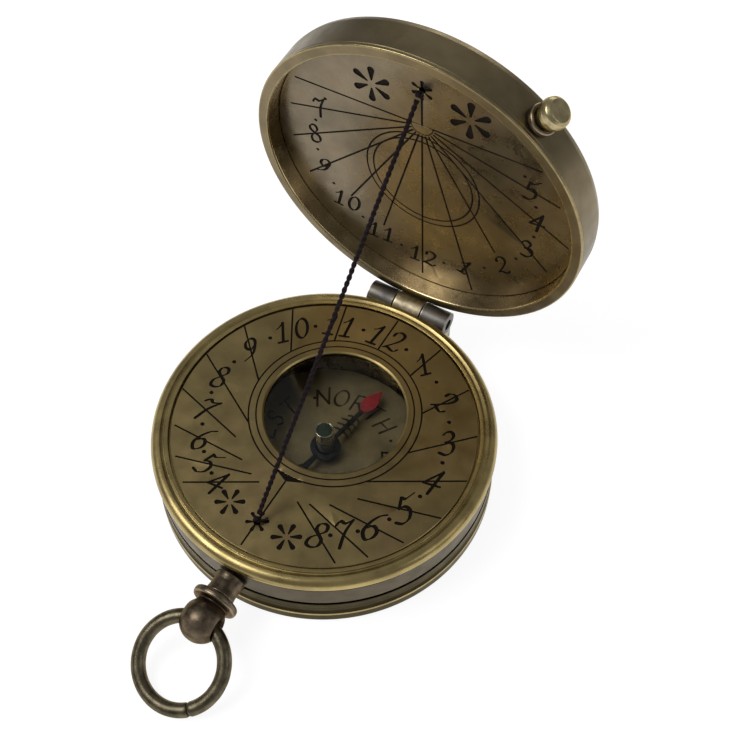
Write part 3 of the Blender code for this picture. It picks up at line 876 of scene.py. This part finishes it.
def engraved_plate(name, radius, thickness, engraving, holes, materials, place, sides=240):
    """Round plate with its engraving cut as real grooves. holes are (centre, radius, edge width, drop).

    Local +Z is the engraved side, at height 0. Materials: face, groove, polished hole edge."""
    worn, worn_drop = 0.12, 0.08    # width and depth of the outer edge's slope
    loops = [oval(0.0, 0.0, r, r, sides) for r in (radius, radius - worn)]
    for centre, bore, edge, _ in holes:
        loops += [oval(*centre, r, r, max(24, int(bore * 14))) for r in (bore, bore + edge)]
    flat, faces = triangulate(loops + engraving.outlines(), 1e-5)
    sunk = engraving.depth_at(flat)
    lip = np.zeros(len(flat))
    keep = np.ones(len(faces), bool)
    middle = np.array([flat[list(f)].mean(0) for f in faces])
    for centre, bore, edge, drop in holes:
        away = np.linalg.norm(flat - np.array(centre), axis=1)
        lip = np.maximum(lip, drop * np.clip((bore + edge - away) / edge, 0.0, 1.0))
        keep &= np.linalg.norm(middle - np.array(centre), axis=1) > bore * 0.999
    outer = np.linalg.norm(flat, axis=1)
    lip = np.maximum(lip, worn_drop * np.clip((outer - radius + worn) / worn, 0.0, 1.0))
    bm = bmesh.new()
    made = [bm.verts.new((x, y, -max(d, l))) for (x, y), d, l in zip(flat, sunk, lip)]
    for i, face in enumerate(faces):
        if not keep[i]:
            continue
        corner = list(face)
        new = bm.faces.new([made[k] for k in corner])
        if sunk[corner].mean() > 0.15 * engraving.depth:
            new.material_index = 1
        elif lip[corner].mean() > 0.02 and outer[corner].mean() < radius - 0.2:
            new.material_index = 2
    drop_loose(bm)
    rim = [e for e in bm.edges if len(e.link_faces) == 1]
    grown = bmesh.ops.extrude_edge_only(bm, edges=rim)["geom"]
    for vert in [g for g in grown if isinstance(g, bmesh.types.BMVert)]:
        vert.co.z = -thickness
    lower = [g for g in grown if isinstance(g, bmesh.types.BMEdge) and len(g.link_faces) == 1]
    bmesh.ops.triangle_fill(bm, use_beauty=False, use_dissolve=False, edges=lower)
    return as_object(name, bm, materials, place, sharp=20.0)


def on_circle(hour_centre, angle, circle_centre_y, radius):
    """Where a line from the hour centre at an angle from +Y meets a circle on the Y axis."""
    out = polar(angle)
    start = hour_centre - (0.0, circle_centre_y)
    along = start @ out
    reach = -along + math.sqrt(along ** 2 - start @ start + radius ** 2)
    return hour_centre + reach * out


def base_engraving():
    """Hour lines every 15 degrees from the hour centre, with numerals and dots on a chapter circle."""
    cut = Engraving()
    hour_centre = np.array((0.0, -12.7))
    ring_r, ring_width = WINDOW_R + 2.63, 1.32
    thin, string_room = 0.155, 0.9
    chapter_y, chapter_r = 0.5, 21.35
    # label, lean of its top clockwise from +Y, height
    hours = [("4", 9, 4.3), ("5", 14, 4.3), ("6", 5, 4.5), ("7", 9, 4.7), ("8", -7, 4.4), ("9", -34, 4.5),
             ("10", -34, 4.3), ("11", -8, 4.3), ("12", 6, 4.4), ("1", -36, 4.3), ("2", 22, 4.4),
             ("3", -20, 4.6), ("4", 4, 4.6), ("5", -26, 4.9), ("6", -4, 5.0), ("7", -22, 4.9),
             ("8", -1, 4.6)]
    spots = []
    for i, (label, lean, height) in enumerate(hours):
        steps = i - 8
        angle = math.radians(15.0 * steps)
        rim = on_circle(hour_centre, angle, 0.0, 26.35 if abs(steps) < 6 else 25.8)
        if abs(steps) > 4:
            start = on_circle(hour_centre, angle, 0.0, 15.4)
        else:
            start = on_circle(hour_centre, angle, WINDOW_Y, ring_r)
        cut.line(start, rim, thin)
        spot = on_circle(hour_centre, angle, chapter_y, chapter_r)
        cut.write(label, spot, height, lean, gap=0.22 if label in ("10", "12") else 0.1)
        spots.append(spot)
    cut.dots_between(spots, np.array((0.0, chapter_y)), chapter_r, 0.36)
    cut.circle((0.0, WINDOW_Y), ring_r, 0.14)
    cut.circle((0.0, WINDOW_Y), ring_r - ring_width, 0.13)
    # dark wedge between the 4 and 8 o'clock lines, below the ring
    low = WINDOW_Y - ring_r
    for share in np.linspace(-1.0, 1.0, 9):
        top = (2.3 * share, low + 0.19 * share ** 2 - 0.05)
        cut.stroke([hour_centre + (0.0, 0.25), top], [0.12, 0.24])
    cut.line(hour_centre, (0.0, ANCHOR_Y + string_room), thin)
    cut.line((0.0, ANCHOR_Y - string_room), (0.0, -25.9), thin)
    cut.petals((-5.9, -20.4), 2.6)
    cut.petals((5.6, -21.2), 2.6)
    cut.petals((0.0, ANCHOR_Y), 2.0)
    return cut


def lid_engraving():
    """Upright dial of the lid, in the plane seen when it is open: +Y towards its free edge."""
    cut = Engraving()
    hour_centre = np.array((0.0, 13.05))
    thin, string_room = 0.17, 0.9
    ring_r, ring_width = 10.5, 1.25
    chapter_r = 20.7
    # label, lean of its top clockwise from +Y, how far its hour line runs from the lid's centre
    hours = [("", 0, 26.6), ("7", -4, 25.6), ("8", -8, 25.2), ("9", 22, 24.8), ("10", 14, 18.6),
             ("11", 10, 18.2), ("12", 8, 26.0), ("1", 24, 26.8), ("2", -18, 17.8), ("3", -6, 25.7),
             ("4", 8, 26.6), ("5", 4, 24.9), ("", 0, 24.2)]
    spots = []
    for i, (label, lean, reach) in enumerate(hours):
        steps = i - 6
        angle = math.radians(180.0 - 15.0 * steps)
        rim = on_circle(hour_centre, angle, 0.0, reach)
        cut.line(hour_centre + polar(angle, 2.35 if abs(steps) < 6 else 1.9), rim, thin)
        spot = on_circle(hour_centre, angle, 0.0, chapter_r)
        cut.write(label, spot, 4.0, lean, gap=0.12 if len(label) > 1 else 0.0, bold=1.15)
        spots.append(spot)
    cut.dots_between(spots, np.zeros(2), chapter_r, 0.30)
    cut.circle((0.0, 0.0), ring_r, 0.15)
    cut.circle((0.0, 0.0), ring_r - ring_width, 0.15)
    disc_r = 1.95
    half_turn = np.linspace(1.5 * math.pi, 0.5 * math.pi, 19)
    cut.stroke([hour_centre + polar(a, disc_r) for a in half_turn], 0.09)
    cut.line(hour_centre - (disc_r, 0.0), hour_centre + (disc_r, 0.0), 0.09)
    cut.line(hour_centre, (0.0, LID_ANCHOR - string_room), thin)
    cut.petals((-8.8, 17.9), 3.6, fat=0.18)
    cut.petals((8.2, 18.0), 3.8, fat=0.18)
    cut.petals((0.0, LID_ANCHOR), 2.0)
    return cut


def card_engraving():
    """The four compass words, letter by letter round the card, with a dot between words."""
    cut = Engraving(depth=0.08, slope=0.06)
    letter_r, pitch = 11.9, 16.5
    for i, word in enumerate(("NORTH", "EAST", "SOUTH", "WEST")):
        for j, letter in enumerate(word):
            a = 90.0 * i + pitch * (j - (len(word) - 1) / 2)
            cut.write(letter, polar(math.radians(a), letter_r), 3.4, a)
        cut.dot(polar(math.radians(90.0 * i + 49.0), letter_r), 0.3)
    return cut


# --- Case ---

def hinge_clearance():
    """Room for the knuckles, let into the case or the shut lid."""
    spare = 0.06
    return rod_x("clearance", KNUCKLE_R + spare, -HINGE_HALF - spare, HINGE_HALF + spare, AGED)


def base_cover():
    inner = BAND_R - 1.7
    floor = 1.4
    wall_r = CASE_R - 0.3
    crest_low, crest_top = 2.3, 2.68
    profile = [(0.0, floor), (inner, floor, 0.6), (inner, COVER_TOP, 0.12),
               (BAND_R - 0.25, COVER_TOP, 0.08), (BAND_R - 0.1, COVER_TOP - 0.5, 0.1),
               (wall_r - 0.16, COVER_TOP - 0.5, 0.1), (wall_r - 0.1, COVER_TOP - 0.15, 0.04),
               (wall_r, COVER_TOP - 0.25, 0.06), (wall_r, 4.55, 0.02), (wall_r - 0.04, 4.5, 0.02),
               (wall_r, 4.45, 0.02), (wall_r, 3.5, 1.2), (CASE_R - 0.08, crest_top, 0.03),
               (CASE_R, crest_top - 0.12, 0.05), (CASE_R, crest_low), (CASE_R, 0.45, 0.2),
               (CASE_R - 0.5, 0.0, 0.2)]
    # two turned grooves underneath
    profile += [(26.0, 0.0, 0.12), (25.6, 0.25, 0.1), (24.4, 0.25, 0.1), (24.0, 0.0, 0.12), (9.0, 0.0, 0.1),
                (8.8, 0.15, 0.08), (8.4, 0.15, 0.08), (8.2, 0.0, 0.1), (0.0, 0.0)]
    cover = lathe("cover", profile, COVER)
    reach, notch_r, notch_in = 5.0, 3.0, 3.0    # room for the pendant's neck
    notch = lathe("notch", [(0.0, reach), (notch_r, reach), (notch_r, 0.0), (0.0, 0.0)], AGED, steps=SMALL,
                  place=frame_along((0.0, -CASE_R + notch_in, BALL.z), (0.0, -1.0, 0.0)))
    carve(cover, notch)
    # The foot's crest gets polished brass, a bright band on the dark cover: partly brass rubbed bright,
    # partly a painted highlight line.
    cover.data.materials.append(POLISHED)
    for face in cover.data.polygons:
        middle = face.center / MM
        if crest_low < middle.z < crest_top and middle.xy.length > CASE_R - 0.1:
            face.material_index = len(cover.data.materials) - 1
    stand_for(cover, "case", "aged_brass", "base_cover")


def case_band():
    skirt_r = BAND_R - 2.0
    inner, under = 26.0, 3.2
    profile = [(BAND_R, BAND_TOP, 0.25), *groove(BAND_R, BAND_TOP - 0.65), (BAND_R, BAND_LOW, 0.18),
               (skirt_r, BAND_LOW, 0.1), (skirt_r, under, 0.1), (inner, under, 0.1),
               (inner, BAND_TOP, 0.1)]
    band = carve(lathe("band", profile, SATIN, closed=True), hinge_clearance())
    stand_for(band, "case", "satin_brass", "case_band")


def bezel_ring():
    ridge_r = SEAT_R + 1.45
    inner, under = 25.8, PLATE_LOW - GAP
    roll = 1.5                  # radius of the rolled outer edge
    profile = [(SEAT_R, BEZEL_TOP - 0.08, 0.08), (SEAT_R + 0.62, BEZEL_TOP - 0.02, 0.06),
               (SEAT_R + 0.72, BEZEL_TOP - 0.22, 0.05), (SEAT_R + 0.95, BEZEL_TOP - 0.26, 0.2),
               (SEAT_R + 1.22, BEZEL_TOP - 0.14, 0.06), (ridge_r, BEZEL_TOP, 0.06)]
    profile += round_arc(CASE_R - roll, BEZEL_TOP - roll, roll, 80.0, 0.0, 16)
    profile += [(BAND_R, BEZEL_LOW, 0.05), (inner, BEZEL_LOW, 0.1), (inner, under, 0.05),
                (SEAT_R, under, 0.05)]
    bezel = carve(lathe("bezel", profile, POLISHED, closed=True), hinge_clearance())
    stand_for(bezel, "case", "polished_brass", "bezel_ring")


def base_dial():
    holes = [((0.0, WINDOW_Y), WINDOW_R, 0.28, 0.22), ((0.0, ANCHOR_Y), STRING_HOLE_R, 0.1, 0.08)]
    plate = engraved_plate("hour_plate_engraved", PLATE_R, PLATE_TOP - PLATE_LOW, base_engraving(), holes,
                           [DIAL, INK, POLISHED], Matrix.Translation((0.0, 0.0, PLATE_TOP)))
    stand_for(plate, "case", "dial_brass", "hour_plate")


def window():
    over_window = Matrix.Translation((0.0, WINDOW_Y, 0.0))
    profile = [(0.0, GLASS_TOP), (GLASS_R, GLASS_TOP, 0.1), (GLASS_R, GLASS_LOW, 0.1), (0.0, GLASS_LOW)]
    pane = lathe("pane", profile, GLASS, steps=SMALL, place=over_window)
    pane.visible_shadow = False
    stand_for(pane, "case", "window_glass", "window_glass")
    outer = GLASS_R + 1.0
    bore = GLASS_R + GAP
    lip_top = GLASS_LOW - 0.25
    lip_r = WINDOW_R + 0.2
    ring = [(outer, GLASS_TOP - 0.05, 0.1), (outer, lip_top - 0.5, 0.1), (lip_r, lip_top - 0.5, 0.1),
            (lip_r, lip_top, 0.08), (bore, lip_top, 0.05), (bore, GLASS_TOP - 0.05, 0.08)]
    # The seat's near-black cover brass is painted shade: the ring seen through the glass stands for the
    # shadow at the window's edge.
    turned("glass_seat", ring, COVER, "case", "aged_brass", "glass_retainer", closed=True,
           place=over_window)


def compass_bowl():
    inner = BOWL_R - 0.8
    profile = [(0.0, BOWL_FLOOR), (inner, BOWL_FLOOR, 0.1), (inner, GLASS_LOW, 0.1),
               (BOWL_R, GLASS_LOW, 0.1), (BOWL_R, BOWL_LOW, 0.5), (0.0, BOWL_LOW)]
    # The bowl's near-black cover brass is painted shade, standing for the dark well under the glass.
    turned("bowl", profile, COVER, "case", "aged_brass", "compass_bowl")


def compass_card():
    bore = 1.6                  # round the pivot pin's foot
    holes = [((0.0, 0.0), bore, 0.12, 0.1)]
    card = engraved_plate("card", CARD_R, CARD_TOP - CARD_LOW, card_engraving(), holes,
                          [CARD, INK, POLISHED], Matrix.Translation((0.0, 0.0, CARD_TOP)), sides=160)
    stand_for(card, "case", "card_brass", "compass_card")


def pivot_pin():
    foot = BOWL_FLOOR + GAP
    profile = [(0.0, 9.1), (0.16, 9.0, 0.1), (0.45, 8.2, 0.2), (0.45, 4.9, 0.1), (0.8, 4.75, 0.1),
               (1.2, 4.6, 0.1), (1.2, foot, 0.1), (0.0, foot)]
    turned("pivot", profile, STEEL, "case", "bright_steel", "pivot_pin", steps=48)


def needle_half():
    """Right half of the needle's outline, from its tip down to its tail: (x, y) pairs."""
    stem = 0.42
    side_points = [(0.0, NEEDLE_LENGTH), (0.5, 14.6), (1.15, 13.3), (1.45, 12.3), (1.3, 11.2), (0.75, 10.3),
                   (stem, 9.9)]
    for y in (8.1, 6.9, 5.7, 4.5):   # feathered barbs sweeping back
        reach = 1.75 if y < 8.0 else 1.3
        side_points += [(stem, y), (0.9, y - 0.08), (reach, y - 0.55), (reach + 0.05, y - 0.72),
                        (0.9, y - 0.42), (stem, y - 0.45)]
    ring_r = 2.75
    side_points += [tuple(polar(math.radians(9.0 + 162.0 * i / 16), ring_r)) for i in range(17)]
    side_points += [(0.5, -4.0), (0.55, -5.2), (1.1, -6.0), (1.9, -7.2), (2.1, -8.4), (1.75, -9.6),
                    (1.5, -8.6), (1.0, -7.5), (stem, -6.9), (stem, -10.2), (1.7, -13.4), (0.8, -12.9),
                    (0.35, -14.4), (0.0, -NEEDLE_LENGTH)]
    return side_points


def flat_piece(name, loops, low, high, materials, place):
    """Flat plate from closed outlines, the first the outside, with softened edges."""
    flat, faces = triangulate(loops, 1e-6)
    bm = bmesh.new()
    made = [bm.verts.new((x, y, high)) for x, y in flat]
    for face in faces:
        middle = flat[list(face)].mean(0)
        if sum(inside(middle, loop) for loop in loops) % 2:
            bm.faces.new([made[k] for k in face])
    drop_loose(bm)
    top = list(bm.faces)
    bottom = bmesh.ops.duplicate(bm, geom=top)
    faces_below = [g for g in bottom["geom"] if isinstance(g, bmesh.types.BMFace)]
    for vert in {v for f in faces_below for v in f.verts}:
        vert.co.z = low
    bmesh.ops.reverse_faces(bm, faces=faces_below)
    rim = [e for e in dict.fromkeys(e for f in top for e in f.edges) if len(e.link_faces) == 1]
    for e in rim:
        a, b = e.verts
        c, d = bottom["vert_map"][b], bottom["vert_map"][a]
        bm.faces.new((a, b, c, d))
    piece = as_object(name, bm, materials, place)
    soften(piece, 0.06, 2, 50.0, 30.0)
    return piece


def inside(point, loop):
    """True if a point is inside a closed outline."""
    x, y = point
    hits = False
    for (x0, y0), (x1, y1) in zip(loop, list(loop[1:]) + [loop[0]]):
        if (y0 > y) != (y1 > y) and x < x0 + (y - y0) / (y1 - y0) * (x1 - x0):
            hits = not hits
    return hits


def compass_needle():
    turn = Matrix.Rotation(NEEDLE_TURN, 4, "Z")
    red_from = 9.95             # the arrowhead is red beyond this
    right = needle_half()
    outline = right + [(-x, y) for x, y in reversed(right[1:-1])]
    hole = oval(0.0, 0.0, HUB_R + GAP / 2, HUB_R + GAP / 2, 48)
    needle = flat_piece("needle", [outline, hole], NEEDLE_LOW, NEEDLE_TOP, [BLUED, RED], turn)
    for face in needle.data.polygons:
        if face.center.y > red_from * MM:
            face.material_index = 1
    stand_for(needle, "needle", "blued_steel", "compass_needle")

    recess = HUB_TOP - 0.65
    flange_r, foot = HUB_R + 0.4, 5.0
    bore_r, bore_top, bore_tip = 0.9, 9.0, 9.5
    lip_r = HUB_R - 0.16
    profile = [(0.0, recess), (lip_r, recess, 0.05), (lip_r, HUB_TOP, 0.06), (HUB_R, HUB_TOP, 0.07),
               (HUB_R, 9.6, 0.05), (HUB_R - 0.12, 9.45, 0.05), (HUB_R - 0.12, 9.2, 0.05),
               (HUB_R, 9.05, 0.05), (HUB_R, NEEDLE_LOW - GAP / 2, 0.05), (flange_r, NEEDLE_LOW - GAP, 0.08),
               (flange_r, foot, 0.1), (bore_r, foot, 0.05), (bore_r, bore_top, 0.1), (0.0, bore_tip)]
    turned("hub", profile, HUB, "needle", "polished_brass", "needle_hub", steps=SMALL, place=turn)
    cap_r = lip_r - 0.1
    cap = [(0.0, HUB_TOP - 0.05), (cap_r * 0.6, HUB_TOP - 0.09), (cap_r, HUB_TOP - 0.2, 0.08),
           (cap_r, recess + 0.25, 0.05), (0.0, recess + 0.25)]
    turned("cap", cap, GREEN, "needle", "green_cap", "hub_cap", steps=48, place=turn)


# --- Hinge ---

def knuckle(name, x_low, x_high, z_low, z_high, wall_r, material, place=None):
    """Hinge tube rolled from its leaf, whose foot is hollowed to fit against a round wall."""
    part = rod_x(name, KNUCKLE_R, x_low, x_high, material)
    part.data.transform(part.matrix_world)
    part.matrix_world = Matrix()
    inside_y, outside_y = 28.0, 32.2
    foot_low, foot_high = Vector((x_low, inside_y, z_low)), Vector((x_high, outside_y, z_high))
    bm = bmesh.new()
    bmesh.ops.create_cube(bm, size=1.0)
    bmesh.ops.scale(bm, vec=foot_high - foot_low, verts=bm.verts)
    bmesh.ops.translate(bm, vec=(foot_low + foot_high) / 2.0, verts=bm.verts)
    wall = lathe("wall", [(0.0, 20.0), (wall_r, 20.0), (wall_r, 5.0), (0.0, 5.0)], material)
    carve(part, carve(as_object("foot", bm, [material]), wall), "UNION")
    carve(part, rod_x("bore", PIN_R + GAP, x_low - 1.0, x_high + 1.0, material))
    soften(part, 0.14, 3, 40.0, 35.0)
    if place is not None:
        part.data.transform(in_metres(place))
    return part


def hinge():
    clear = CENTRE_HALF + GAP
    for word, low, high in (("left", -HINGE_HALF, -clear), ("right", clear, HINGE_HALF)):
        part = knuckle("knuckle_" + word, low, high, 7.4, HINGE.z, BAND_R + GAP, GUNMETAL)
        stand_for(part, "case", "gunmetal", "hinge_knuckle_" + word)
    middle = knuckle("knuckle_lid", -CENTRE_HALF, CENTRE_HALF, HINGE.z, 17.0, LID_R + GAP, CENTRE,
                     SHUT_TO_OPEN)
    stand_for(middle, "lid", "aged_brass", "hinge_knuckle_lid")
    pin = rod_x("pin", PIN_R, -HINGE_HALF + 0.7, HINGE_HALF - 0.7, STEEL, edge=0.2, steps=48)
    stand_for(pin, "case", "bright_steel", "hinge_pin")


# --- Lid ---

def lid_shell():
    back = LID_RIM + LID_DEPTH
    inner = LID_R - LID_WALL
    seat = LID_PLATE + LID_PLATE_T + GAP
    step_r, ceiling = inner - 1.7, back - 1.0
    profile = [(0.0, back), (14.8, back, 0.1), (15.1, back - 0.2, 0.1), (16.3, back - 0.2, 0.1),
               (16.6, back, 0.1), (LID_R - 1.1, back, 0.3), (LID_R - 0.25, back - 0.45, 0.5),
               (LID_R, back - 1.4, 0.6), *groove(LID_R, LID_RIM + 0.65), (LID_R, LID_RIM, 0.3),
               (inner, LID_RIM, 0.35), (inner, seat, 0.1), (step_r, seat, 0.1), (step_r, ceiling, 0.4),
               (0.0, ceiling)]
    shell = lathe("lid", profile, AGED)
    carve(shell, hinge_clearance())
    # Inside faces get the brighter inner brass: partly polish, partly painted sheen for light reflected
    # inside the lid.
    shell.data.materials.append(INNER_POLISH_AND_SHEEN)
    for face in shell.data.polygons:
        middle = face.center / MM
        if middle.xy.length < inner + 0.05 and middle.z < seat + 0.05:
            face.material_index = 1
    shell.matrix_world = in_metres(SHUT_TO_OPEN)
    stand_for(shell, "lid", "aged_brass", "lid_shell")


def lid_dial():
    place = SHUT_TO_OPEN @ Matrix.Translation((0.0, 0.0, LID_PLATE)) @ Matrix.Rotation(math.pi, 4, "X")
    holes = [((0.0, LID_ANCHOR), STRING_HOLE_R, 0.1, 0.08)]
    plate = engraved_plate("lid_dial", LID_PLATE_R, LID_PLATE_T, lid_engraving(), holes,
                           [LID_DIAL, INK, POLISHED], place)
    stand_for(plate, "lid", "dial_brass", "lid_dial_plate")


def lid_knob():
    out = Vector((math.sin(KNOB_ANGLE), -math.cos(KNOB_ANGLE), 0.0))
    place = SHUT_TO_OPEN @ frame_along(out * (LID_R + GAP) + Vector((0.0, 0.0, LID_RIM + KNOB_IN)), out)
    ring = [(2.45, 0.95, 0.3), (2.45, 0.0, 0.15), (1.9, 0.0, 0.05), (1.9, 0.95, 0.1)]
    turned("knob_seat", ring, COLLAR, "lid", "polished_brass", "knob_collar", closed=True, steps=SMALL,
           place=place)
    profile = [(0.0, 4.42), (1.1, 4.4), (1.8, 4.3, 0.3), (2.3, 3.85, 0.5), (2.47, 3.0, 0.7),
               (2.35, 2.2, 0.4), (2.0, 1.65, 0.2), (1.85, 1.35, 0.15), (1.6, 1.1, 0.1), (1.6, 0.0),
               (0.0, 0.0)]
    turned("knob", profile, KNOB, "lid", "polished_brass", "lid_knob", steps=SMALL, place=place)


# --- Pendant and bow ring ---

def pendant():
    place = frame_along((0.0, -BAND_R - GAP, BALL.z), (0.0, -1.0, 0.0))
    collar_low = 3.9
    neck = [(0.0, 3.6), (2.6, 3.6, 0.15), (2.45, 2.4, 0.5), (2.45, 1.2, 0.4), (2.65, 0.5, 0.2),
            (2.7, 0.0, 0.1), (0.0, 0.0)]
    turned("neck", neck, BRONZE, "case", "dark_bronze", "pendant_neck", steps=SMALL, place=place)
    ball_z = -BALL.y - BAND_R - GAP
    end_z = ball_z + BALL_R * math.sin(math.radians(72.0))
    profile = [(0.0, end_z), (0.9, end_z, 0.2)]
    profile += round_arc(0.0, ball_z, BALL_R, 70.0, -40.0, 20)
    profile += [(2.5, 5.3, 0.3), (3.9, 5.1, 0.35), (4.0, 4.5, 0.45), (3.9, collar_low, 0.35),
                (0.0, collar_low)]
    finial = lathe("finial", profile, BRONZE, steps=SMALL, place=place)
    carve(finial, bow_bore())
    stand_for(finial, "case", "dark_bronze", "pendant_finial")


def bow_bore():
    """Hole through the ball that widens outwards as the ring curves away from the hole's axis."""
    reach, play, count = 4.4, 0.25, 16
    profile = [(0.0, reach)]
    for i in range(count + 1):
        x = reach - 2.0 * reach * i / count
        profile.append((BOW_WIRE_R + play + BOW_R - math.sqrt(BOW_R ** 2 - x ** 2), x))
    profile.append((0.0, -reach))
    return lathe("bow_bore", profile, BRONZE, steps=48, place=frame_along(BALL, (1.0, 0.0, 0.0)))


def bow_ring():
    """Wire ring bent round until its ends meet, slightly worn where it hangs in the ball."""
    place = Matrix.Translation(BALL) @ Matrix.Rotation(BOW_DROP, 4, "X")
    wear, wear_angle = 0.04, 0.25
    end_length, end_drop = 0.15, 0.12
    uneven = 0.012
    count = 150
    path, radii = [], []
    for i in range(count + 1):
        share = i / count
        a = BOW_SLIT_AT + BOW_SLIT / 2 + (2.0 * math.pi - BOW_SLIT) * share
        end = min(share, 1.0 - share) * 2.0 * math.pi * BOW_R
        worn = wear * math.exp(-((a - math.pi / 2) / wear_angle) ** 2)
        path.append(Vector((BOW_R * math.cos(a), -BOW_R + BOW_R * math.sin(a), 0.0)))
        soft = end_drop * (1.0 - min(1.0, end / end_length))
        wavy = 1.0 + uneven * noise.noise(Vector((share * 40.0, 1.0, 2.0)))
        radii.append(BOW_WIRE_R * wavy - worn - soft)
    bm = bmesh.new()
    tube(bm, path, radii, 32)
    ring = as_object("bow", bm, [BOW], place, sharp=50.0)
    stand_for(ring, "bow", "dark_bronze", "bow_ring")


# --- Assembly ---

add_camera()
add_string()
add_studio()
add_floor()
base_cover()
case_band()
bezel_ring()
base_dial()
window()
compass_bowl()
compass_card()
pivot_pin()
compass_needle()
hinge()
lid_shell()
lid_dial()
lid_knob()
pendant()
bow_ring()
